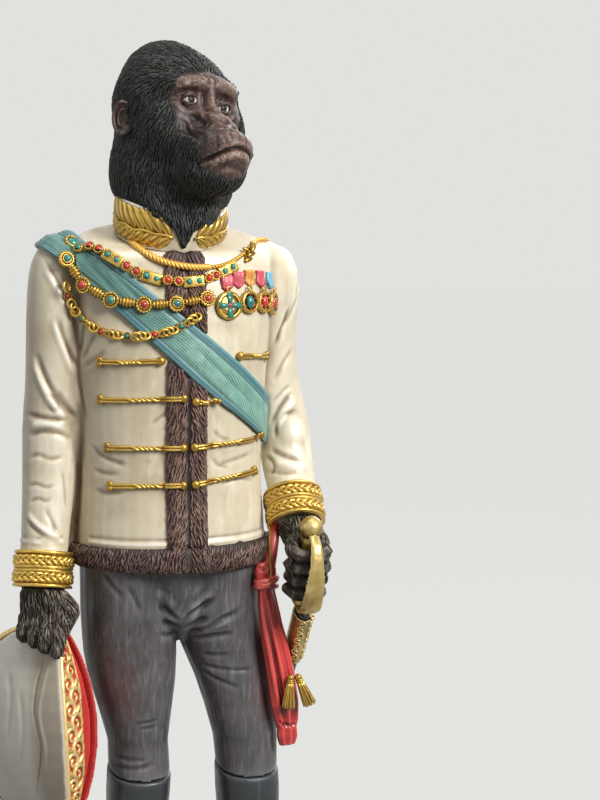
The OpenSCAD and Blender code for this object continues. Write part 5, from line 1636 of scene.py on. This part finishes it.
def make_neck_cord(tree):
    """A laid cord that hangs from the collar to the left shoulder, with a gilt tuft on it."""
    made = [rope("neck_rope", lying(tree, ROPE_PLACES, 1.3), 1.5, 3, 5),
            rope("neck_rope", lying(tree, THIN_PLACES, 0.9), 0.95, 2, 2.8)]
    paint(joined("neck_rope", made), CORD, "cord_paint", "neck_cord", 4, 0.3)
    at, out, _, _ = tree.ray_cast(*photo_ray(*TUFT_PLACE))
    lobes = []
    for k in range(9):
        turn = math.radians(80 - 26 * (k % 3) + 150 * (k == 8))
        way = RIGHT * math.cos(turn) + UP * math.sin(turn)
        spot = at + out * 1.2 * MM + way * 1.6 * MM + (UP + RIGHT * 0.55) * (2.3 * (k // 3) - 2.6) * MM
        lobes.append(ball(1.0, standing(spot, out, way) @ Matrix.Diagonal((2.6, 1.05, 0.9, 1)), 16, 10))
    gild(joined("cord_tuft", lobes), "neck_cord", 4)


def beads(radius, height, count, size):
    """Small balls in a ring, joined to nothing but what they sit on."""
    made = []
    for k in range(count):
        bpy.ops.mesh.primitive_ico_sphere_add(subdivisions=2, radius=size * MM)
        at = polar(radius, 2 * math.pi * k / count, height)
        made.append(put(bpy.context.object, Matrix.Translation(at)))
    return made


def ring(radius, thick, steps=24, sides=8, wide=1.0):
    """A round or oval link."""
    turns = [2 * math.pi * k / steps for k in range(steps)]
    path = [Vector((radius * wide * math.cos(turn), radius * math.sin(turn), 0)) * MM for turn in turns]
    return tube("link", path, thick, sides, closed=True)


def bezel(name, r, rim, count):
    """A round setting with a beaded rim."""
    outline = ((0, -0.9), (r, -0.9), (r, 0.1), (r * 0.94, 0.65), (r * 0.8, 0.9), (r * 0.72, 0.8),
               (r * 0.68, 0.25), (0, 0.25))
    cup = turned(name, [(a * MM, h * MM) for a, h in outline], 32)
    return joined(name, [cup] + beads(r * 0.93, 0.62, count, rim))


def dome(r, h, steps=24, rings=5):
    """A low cushion of enamel."""
    turns = [math.pi / 2 * k / rings for k in range(rings)]
    outline = [(0, -0.3), (r, -0.3)] + [(r * math.cos(a), h * math.sin(a)) for a in turns] + [(0, h)]
    return turned("dome", [(a * MM, b * MM) for a, b in outline], steps)


def laid(tree, points):
    """Where a part lies on the dress: its middle and the way out of the cloth."""
    at = middle(points)
    return at, tree.find_nearest(at)[1]


def chain_ways(places):
    """The way along a chain at each of its places."""
    last = len(places) - 1
    return [(places[min(i + 1, last)] - places[max(i - 1, 0)]).normalized() for i in range(last + 1)]


# Where the upper chain ends on the right shoulder, in the photograph
CHAIN_END = (70, 246)
# The most points that a small stone's mesh has: the middle chain's stones are larger
SMALL_STONE_POINTS = 240


def make_chains(tree):
    """Three collars of gilt settings, rosettes, barrels and links."""
    setting = bezel("setting", 2.1, 0.34, 12)
    inner = put(bezel("inner", 2.15, 0.26, 12), Matrix.Translation((0, 0, 0.45 * MM)))
    rosette = joined("rosette", [bezel("rosette", 3.4, 0.5, 15), inner])
    small = bezel("small", 1.8, 0.3, 11)
    outline = [(0, -3.1)]
    for k in range(25):
        z = -3 + 6 * k / 24
        outline.append((1.25 + 0.95 * (1 - (z / 3.2) ** 2) + 0.24 * math.cos(z * 2 * math.pi / 1.5), z))
    outline.append((0, 3.1))
    barrel = turned("barrel", [(r * MM, z * MM) for r, z in outline], 24)
    link = ring(1.7, 0.66, 22, 8, 1.2)
    joint = ring(0.85, 0.34, 16, 6)
    bpy.ops.mesh.primitive_cube_add(size=1)
    plate = put(bpy.context.object, Matrix.Diagonal((9.6 * MM, 5.0 * MM, 1.6 * MM, 1)))
    apply(plate, "BEVEL", width=0.75 * MM, segments=3)

    spots = [laid(tree, p) for p in parts("upper_chain")]
    ways = chain_ways([at for at, _ in spots])
    made = [copy_at(setting, standing(at, out, way)) for (at, out), way in zip(spots, ways)]
    for i, ((a, out), (b, _), way) in enumerate(zip(spots, spots[1:], ways)):
        if i % 4 == 3:
            made.append(copy_at(plate, standing((a + b) / 2 - out * 0.1 * MM, out, b - a)))
        else:
            lean = out + way.cross(out) * 0.5
            made.append(copy_at(joint, standing((a + b) / 2 - out * 0.2 * MM, lean, way)))
    at, out, _, _ = tree.ray_cast(*photo_ray(*CHAIN_END))
    matrix = standing(at + out * 2.6 * MM, out, RIGHT - UP * 0.5)
    made.append(copy_at(setting, matrix @ Matrix.Diagonal((1.7, 1.35, 1.4, 1))))
    stone = put(dome(2.1, 1.7), matrix @ Matrix.Diagonal((1.25, 1, 1, 1)))
    place(stone, EMERALD, "green_stone", "upper_chain")
    gild(joined("upper_collar", made), "upper_chain")

    stones = sorted(parts("red_stones") + parts("green_stones"), key=lambda p: p[:, 0].mean())
    spots = []
    for p in stones:
        if len(p) <= SMALL_STONE_POINTS:
            continue
        at, out = laid(tree, p)
        spots.append((at - out * 1.35 * MM, out))
    made = [copy_at(rosette, standing(at, out, Vector((1, 0, 0)))) for at, out in spots]
    for (a, _), (b, _) in zip(spots, spots[1:]):
        at, out, _, _ = tree.find_nearest((a + b) / 2)
        up = ((a - at).dot(out) + (b - at).dot(out)) / 2
        made.append(copy_at(barrel, standing(at + out * max(up, 1.6 * MM), b - a, out)))
    gild(joined("middle_collar", made), "middle_chain")

    spots = [laid(tree, p) for p in parts("lower_chain")]
    ways = chain_ways([at for at, _ in spots])
    made = []
    for i, ((at, out), way) in enumerate(zip(spots, ways)):
        if i % 3 == 1:
            made.append(copy_at(small, standing(at, out, way)))
        else:
            lean = way.cross(out) * (0.75 if i % 3 else -0.75)
            made.append(copy_at(link, standing(at + out * 0.25 * MM, out + lean, way)))
            if i % 3 == 2:
                after = spots[min(i + 1, len(spots) - 1)][0]
                made.append(copy_at(link, standing((at + after) / 2 + out * 0.3 * MM, out + lean * 0.3, way)))
    gild(joined("lower_collar", made), "lower_chain")
    drop(setting, rosette, small, barrel, link, joint, plate)
    repaint("red_stones", RUBY)
    repaint("green_stones", EMERALD)


def arm(reach, near, far, thick):
    """One arm of a cross, wider at its end."""
    steps = (0.3, reach * 0.5, reach)

    def spot(i, j):
        x = steps[i]
        y = (j - 1) * (near + (far - near) * x / reach)
        return Vector((x, y, thick)) * MM, Vector((x, y, -0.2)) * MM

    return slab("arm", 3, 3, spot)


def round_about(count, start, radius):
    """Moves to places round a middle, at a radius in millimetres."""
    return [Matrix.Translation(polar(radius, start + 2 * math.pi * k / count)) for k in range(count)]


def make_ribbon(k, at, out, finish):
    """A medal's ribbon with a notched end, a little different each time."""
    matrix = standing(at, out, (1, 0, 0))

    def spot(i, j):
        t = i / 8
        s = j / 6 - 1
        x = (2.75 + 0.25 * math.sin(5 * t + k)) * s
        y = 3.6 - t * (7.2 - 2 * abs(s))
        z = 0.5 + 0.2 * math.cos(s * 3 * math.pi + 2 * t) - 0.25 * abs(s) ** 6 + 0.3 * math.sin(4 * t + k)
        return matrix @ (Vector((x, y, z)) * MM), matrix @ (Vector((x, y, -0.7)) * MM)

    paint(slab("ribbon_%d" % (k + 1), 9, 13, spot), finish, "ribbon_paint", "medal_ribbons", 6, 0.2)


# How much larger each medal is than its solid
MEDAL_GROWTH = (1.18, 1.3, 1.3, 1.4)


def make_medals(tree):
    """Ribbons and the stars that hang on them: a cross, then three ovals with a stone."""
    for k, (part, finish) in enumerate(zip(parts("medal_ribbons"), (PINK, PINK, AMBER, PINK, SKY))):
        make_ribbon(k, *laid(tree, part), finish)
    gilt, green, red, pale = [], [], [], []
    for k, part in enumerate(parts("medals")):
        at, out = laid(tree, part)
        matrix = Matrix.Translation(out * 0.25 * k * MM) @ standing(at, out, (1, 0, 0))
        r = (part.max(0) - part.min(0))[2] / 2 / MM * MEDAL_GROWTH[k]
        ground = []
        if k == 0:
            ground.append(dome(r * 0.72, 0.75))
            for q in range(4):
                turn = Matrix.Rotation(q * math.pi / 2, 4, "Z")
                green.append(put(put(arm(r * 0.86, 0.5, 1.5, 1.15), turn), matrix))
            red.append(put(dome(1.35, 1.6), matrix))
            pale = [put(dome(0.75, 1.1, 12, 3), matrix @ spot) for spot in round_about(4, math.pi / 4, 2.3)]
        else:
            heart = put(dome(r * 0.52, 1.5), Matrix.Diagonal((0.82, 1.1, 1, 1)))
            (green, red, red)[k - 1].append(put(heart, matrix))
            for spot in round_about(6, math.pi / 6, r * 0.66):
                (red, gilt, green)[k - 1].append(put(dome(0.6, 1.0, 10, 3), matrix @ spot))
        loop = put(ring(1.0, 0.36, 16, 6), Matrix.Translation(Vector((0, r + 0.7, 0.2)) * MM))
        setting = bezel("medal", r, 0.36, int(r * 6))
        gilt.append(put(joined("medal", [setting] + ground + [loop]), matrix))
    gild(joined("medal_gilt", gilt), "medals")
    place(joined("medal_green", green), EMERALD, "green_stone", "medals")
    place(joined("medal_red", red), RUBY, "red_stone", "medals")
    place(joined("medal_pale", pale), PEARL, "ribbon_paint", "medals")


# Places along a toggle's cords
CORD_STEPS = 32


def make_toggles(tree, node, fur_end):
    """Twisted double cords with a knob at the fur and a lobed outer end."""
    made = []
    for part in parts(node):
        order = np.argsort(part[:, 0])
        ends = (Vector(part[order[:6]].mean(0)), Vector(part[order[-6:]].mean(0)))
        line = []
        outs = []
        for k in range(CORD_STEPS + 1):
            at, out, _, _ = tree.find_nearest(ends[0].lerp(ends[1], k / CORD_STEPS))
            line.append(at + out * 1.25 * MM)
            outs.append(out)
        cords = ([], [])
        for k, (p, out, way) in enumerate(zip(line, outs, chain_ways(line))):
            turn = 5 * math.pi * ease((k / CORD_STEPS - 0.3) / 0.4)
            shift = (out.cross(way) * math.cos(turn) + out * math.sin(turn) * 0.8) * 0.6 * MM
            cords[0].append(p + shift)
            cords[1].append(p - shift)
        made += [tube("cord", path, 0.6, 8) for path in cords]
        for k in (0, CORD_STEPS):
            aside = outs[k].cross((line[1] - line[0]).normalized()) * MM
            knobs = ((line[k] + aside, 1.35), (line[k] - aside, 1.35))
            if (k > 0) == fur_end:
                knobs = ((line[k], 1.95),)
            for at, size in knobs:
                made.append(ball(size, standing(at, outs[k], (1, 0, 0)) @ Matrix.Diagonal((1, 1, 0.75, 1))))
    gild(joined(node + "_cords", made), node)


# Folds of the waist sash, in the same terms as the coat's
WAIST_FOLDS = (
    (1.3, -1.0, ((262, 586), (267, 620), (275, 660), (282, 700), (287, 732))),
    (1.3, -1.0, ((268, 586), (275, 622), (284, 664), (290, 700), (293, 728))),
    (1.3, -1.0, ((274, 590), (282, 624), (292, 660), (298, 690), (300, 712))),
    (1.5, 0.7, ((265, 590), (271, 622), (280, 664), (287, 702), (290, 722))),
    (1.5, 0.7, ((271, 590), (279, 624), (288, 664), (295, 700))),
    (1.5, 0.7, ((259, 592), (263, 622), (270, 660), (277, 702))),
    (1.2, -0.8, ((258, 578), (266, 580), (276, 578))),
    (1.2, -0.9, ((279, 722), (287, 726), (296, 724))),
)


def make_waist_sash():
    """Red silk that hangs in folds from its knot, tied again near its end."""
    sash = clay("waist_silk", "waist_sash", 0.5, 8)
    tree = surface(sash)
    press(sash, creases(tree, WAIST_FOLDS))
    backs = []
    for k in range(4):
        path = [Vector((29 + 3.5 * k + 12 * t, 10, 155 - 60 * t)) * MM for t in (0, 0.33, 0.66, 1)]
        backs.append((rounded(nearest(tree, path)), 1.3, -0.7))
    press(sash, backs)
    raise_hem(sash)
    paint(sash, RED, "sash_paint", "waist_sash", 18, 0.5)


# The knot's heart, from the middle of the hem, and its turn. Its wraps have a rise, a lean and a half depth,
# and a tail of silk rises from it under the coat.
KNOT = Vector((BODY_X, 0, HEM_Z)) + Vector((37.3, -20.1, -4.5)) * MM
KNOT_TURN = math.radians(20)
KNOT_WRAPS = ((1.3, 0.9, 3.1), (-1.2, -0.7, 3.1), (0.1, 1.9, 3.5))
KNOT_RISE = ((0, 0.4, -2), (1, 0.4, 5), (2.8, 1.4, 12), (5, 4, 20), (6.4, 7, 25))


def make_knot():
    """Silk wound round the neck of the waist sash, and the gilt cord that hangs to it from the cuff."""
    across = Vector((math.cos(KNOT_TURN), math.sin(KNOT_TURN), 0))
    deep = Vector((-math.sin(KNOT_TURN), math.cos(KNOT_TURN), 0))
    wraps = []
    for rise, lean, depth in KNOT_WRAPS:
        path = []
        for q in range(32):
            a = 2 * math.pi * q / 32
            up = Vector((0, 0, rise + lean * math.cos(a)))
            path.append(KNOT + (across * 4.9 * math.cos(a) + deep * depth * math.sin(a) + up) * MM)
        wraps.append(tube("wrap", path, 1.35, 10, closed=True))
    path = rounded([KNOT + Vector(p) * MM for p in KNOT_RISE])
    last = len(path) - 1
    wraps.append(tube("tail", path, [3.1 - 1.6 * (k / last) ** 2 for k in range(last + 1)], 14))
    paint(joined("sash_knot", wraps), RED, "sash_paint", "waist_sash", 5, 0.4)
    start = surface(nodes["left_cuff"]).find_nearest(KNOT + Vector((0, 0, 20 * MM)))[0]
    end = KNOT - deep * 3.4 * MM + Vector((0, 0, 2 * MM))
    hang = start.lerp(end, 0.5) + AWAY * 1.2 * MM - Vector((0, 0, 1.5 * MM))
    cord = rope("sash_cord", rounded([start, hang, end]), 0.6, 2, 2, 6)
    gild(cord, "sash_tassel", 4)


# Threads in a tuft
TASSEL_THREADS = 26


def make_tassels():
    """Tufts of gilt thread under a bound head."""
    rng = np.random.default_rng(8)
    made = []
    for part in parts("sash_tassel"):
        down = Vector(axes_of(part)[:, 2])
        down = down if down.z < 0 else -down
        head = Vector(part.mean(0)) + down * distance_along(part, part.mean(0), down).min()
        made.append(ball(1.6, Matrix.Translation(head + down * 1.5 * MM)))
        for k in range(2):
            binding = standing(head + down * (2.7 + 0.7 * k) * MM, down, (1, 0, 0))
            made.append(put(ring(1.35, 0.38, 20, 6), binding))
        u = down.orthogonal().normalized()
        v = down.cross(u)
        for k in range(TASSEL_THREADS):
            wide = math.sqrt((k + 0.5) / TASSEL_THREADS)
            way = u * math.cos(2.4 * k) + v * math.sin(2.4 * k)
            path = []
            for t in (0, 0.2, 0.4, 0.6, 0.8, 1):
                stray = u * rng.normal(0, 0.1) * t
                path.append(head + (down * (3 + 11.8 * t) + way * wide * (1.0 + 1.9 * t ** 0.8) + stray) * MM)
            made.append(tube("thread", path, [0.42] * 5 + [0.25], 6))
    gild(joined("tassel_tufts", made), "sash_tassel", 4)


def recast(node, grain, rounds, finish, slot, folds=(), shade=0.5):
    """A solid rubbed smooth and painted, with strokes where the photograph shows them."""
    piece = clay(node + "_cast", node, grain, rounds)
    press(piece, creases(surface(piece), folds))
    return paint(piece, finish, slot, node, 18, shade)


def scroll(at, first, second, start, turns, radii, thick, sides):
    """A tube that curls inwards, from the first radius to the second, in millimetres."""
    steps = len(thick) - 1
    path = []
    for k in range(steps + 1):
        turn = start + 2 * math.pi * turns * k / steps
        r = (radii[0] + (radii[1] - radii[0]) * k / steps) * MM
        path.append(at + first * math.cos(turn) * r + second * math.sin(turn) * r)
    return tube("scroll", path, thick, sides)


# Hat on end, in millimetres: half its length, its height, thickness and wall, and the dip of its brim
HAT_HALF, HAT_H, HAT_T, HAT_WALL, HAT_DIP = 43.5, 42, 26, 2, 7
# Its upper end, and the ways along its length, from crown to brim and to its near side
HAT_TOP = Vector((BODY_X - 51.7 * MM, -15.8 * MM, HEM_Z - 19 * MM))
HAT_LEAN = Vector((-0.04, 0.045, 1)).normalized()
HAT_OPEN = HAT_LEAN.cross(Vector((0.669, -0.743, 0))).cross(HAT_LEAN).normalized()
HAT_NEAR = -HAT_LEAN.cross(HAT_OPEN)
# The share of the half length that the lace covers, and its scrolls
LACE_END = 0.9
LACE_SCROLLS = 14
# The hat's seam and folds, in the same terms as the coat's
HAT_FOLDS = (
    (0.9, -0.9, ((46, 650), (42, 668), (37, 682), (33, 710), (37, 730), (41, 742), (41, 759), (38, 777),
                 (37, 798))),
    (1.5, 0.4, ((50, 660), (42, 690), (38, 712), (42, 734), (46, 750), (44, 776))),
    (2.6, -0.4, ((8, 668), (12, 700), (8, 740))),
    (2.4, -0.35, ((20, 690), (24, 730), (20, 770))),
)


def hat_place(along, up, near):
    """A place by a share of the hat's half length, and millimetres from its brim and to its near side."""
    return HAT_TOP + (HAT_LEAN * (along - 1) * HAT_HALF - HAT_OPEN * up + HAT_NEAR * near) * MM


def lace_place(along, share, lift):
    """A place on the lace, by a share of its width from the near edge."""
    full = max(1 - along * along, 0)
    bow = HAT_WALL + 0.1 + (HAT_T / 2 - HAT_WALL) * full ** 0.8 * (1 - 0.05 ** 1.6) ** 0.7
    edge = bow - HAT_WALL - 0.6
    wide = min(12.5, 1.35 * edge)
    return hat_place(along, -HAT_DIP * full + 2.0 - 1.1 - lift, edge - share * wide)


def make_hat():
    """Felt sides with a seam, a red lining, and scrolls of gilt lace on a red ground."""
    near = recast("hat_near_side", 0.7, 6, HAT, "hat_paint", HAT_FOLDS, 0.6)
    from_brim = distance_along(points_of(near), HAT_TOP, -HAT_OPEN) / MM
    # Painted shade: the near side darkens within 13 mm of the brim
    mark(near, "brim_shade", np.clip((13 - from_brim) / 9, 0, 0.7))
    far = recast("hat_far_side", 0.7, 6, HAT, "hat_paint", (), 0.6)
    mark(far, "lined", unit((normals_of(far) @ np.array(HAT_NEAR) + 0.45) / 0.3))
    recast("hat_lining", 0.7, 5, LINING, "lining_paint")
    bed = clay("lace_ground", "hat_lace", 0.45, 3)
    place(bed, LINING, "gold_paint", "hat_lace")
    made = []
    for k in range(LACE_SCROLLS):
        along = LACE_END * 0.97 * (2 * (k + 0.5) / LACE_SCROLLS - 1)
        ahead = (lace_place(along + 0.01, 0.5, 0) - lace_place(along - 0.01, 0.5, 0)).normalized()
        aside = lace_place(along, 0.9, 0) - lace_place(along, 0.1, 0)
        scale = min(aside.length / (5.6 * MM), 1.75)
        thick = max(scale, 0.5)
        aside.normalize()
        hand = 1 if k % 2 else -1
        curl = [(0.42 + 0.25 * math.sin(math.pi * min(q / 25 * 1.4, 1))) * thick for q in range(26)]
        made.append(scroll(lace_place(along, 0.5 + 0.13 * hand, 0.25), aside * hand, ahead, -0.6, 1.35,
                           (2.55 * scale, 0.45 * scale), curl, 8))
        lobe = lace_place(along, 0.5 - 0.3 * hand, 0.3)
        matrix = standing(lobe, aside.cross(ahead), ahead * 0.9 - aside * hand)
        made.append(ball(0.9 * thick, matrix @ Matrix.Diagonal((2.2, 0.8, 0.7, 1)), 16, 10))
    shares = [2 * k / 60 - 1 for k in range(61)]
    for share, thick in ((0.02, 1.2), (0.97, 0.7)):
        made.append(tube("rim", [lace_place(LACE_END * s, share, 0.15) for s in shares], thick, 10))
    crown = [(0.96 * s, (HAT_H + 4) * (1 - abs(0.96 * s) ** 3.6) ** 0.4 + 0.2) for s in shares]
    made.append(rope("rim", [hat_place(along, up, -1.2) for along, up in crown], 1.35, 3, 5, 6))
    paint(joined("lace_scrolls", made), LACE, "gold_paint", "hat_lace", 5, 0.3)


# Root of the blade, from inside the scabbard's mouth into the hilt
SWORD_THROAT = ((42.6, -24, 148.5), (42.4, -26.4, 152.5), (42, -29, 156), (41.8, -31, 160))


def make_sword():
    """Brass hilt and bow, dark scabbard and scrolled mounts."""
    repaint("sword_hilt", BRASS)
    bow = recast("knuckle_guard", 0.45, 5, BRASS, "brass_paint", (), 0.4)
    points = points_of(bow)
    tip = unit((points[:, 2] - 183 * MM) / (2 * MM))
    set_points(bow, points + np.outer(tip, (0, 1.5 * MM, 1.3 * MM)))
    recast("scabbard", 0.6, 6, SCABBARD, "scabbard_paint")
    mounts = clay("mount_sleeves", "scabbard_mounts", 0.45, 3)
    tree = surface(mounts)
    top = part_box("scabbard_mounts")[1].z
    made = [mounts, tube("throat", [Vector(spot) * MM for spot in SWORD_THROAT], 2.9, 20)]
    for k in range(9):
        for side in (-1, 1):
            start = Vector(((43.5 + 2.2 * side) * MM, -90 * MM, top - (3 + 2.7 * k) * MM))
            at, out, _, _ = tree.ray_cast(start, Vector((0, 1, 0)))
            if at is None:
                continue
            up = Vector((0, -0.4, 0.9))
            up = (up - out * up.dot(out)).normalized()
            hand = 1 if (k + (side > 0)) % 2 else -1
            aside = out.cross(up) * hand
            made.append(scroll(at + out * 0.2 * MM, up, aside, 0, 1.2, (1.7, 0.4), [0.45] * 20, 7))
    paint(joined("mount_scrolls", made), BRASS, "brass_paint", "scabbard_mounts", 6, 0.35)


def hand_flow(lean):
    """The way the hair lies on a hand."""
    return lambda at, out: Vector(lean) + noise_vector(at * 90) * 0.5


make_camera()
make_floor()
make_light()
scene.view_settings.view_transform = "Standard"

coat = make_coat()
cloth = surface(coat)
make_trousers()
make_boot("right_boot")
make_boot("left_boot")
make_head()
make_eyes()
make_ears()
# Hair grows on the right hand above the fingers, and on the left one behind them
make_hand("right_hand", hand_flow((0.1, -0.05, -1)), lambda spots: spots[:, 2] > 136 * MM, 11)
make_hand("left_hand", hand_flow((0.1, -0.6, -0.8)),
          lambda spots: (spots[:, 2] > 170 * MM) & (spots[:, 1] > -36 * MM), 12)
make_fur("fur_hem", HEM_FUR, hem_flow, 1.15, 21)
make_fur("fur_placket", FRONT_FUR, placket_flow, 1.05, 22)
make_collar()
make_beard()
make_cuff("right_cuff")
make_cuff("left_cuff")
silk = make_shoulder_sash(cloth)
fur_and_cloth = surface(coat, silk, nodes["fur_placket"])
make_neck_cord(fur_and_cloth)
make_chains(cloth)
make_medals(cloth)
make_toggles(fur_and_cloth, "right_toggles", True)
make_toggles(fur_and_cloth, "left_toggles", False)
make_waist_sash()
make_knot()
make_tassels()
make_sword()
make_hat()
repaint("neck", HAIR)
repaint("base", BASE)
repaint("felt_pad", FELT)
repaint("boot_soles", BOOT)
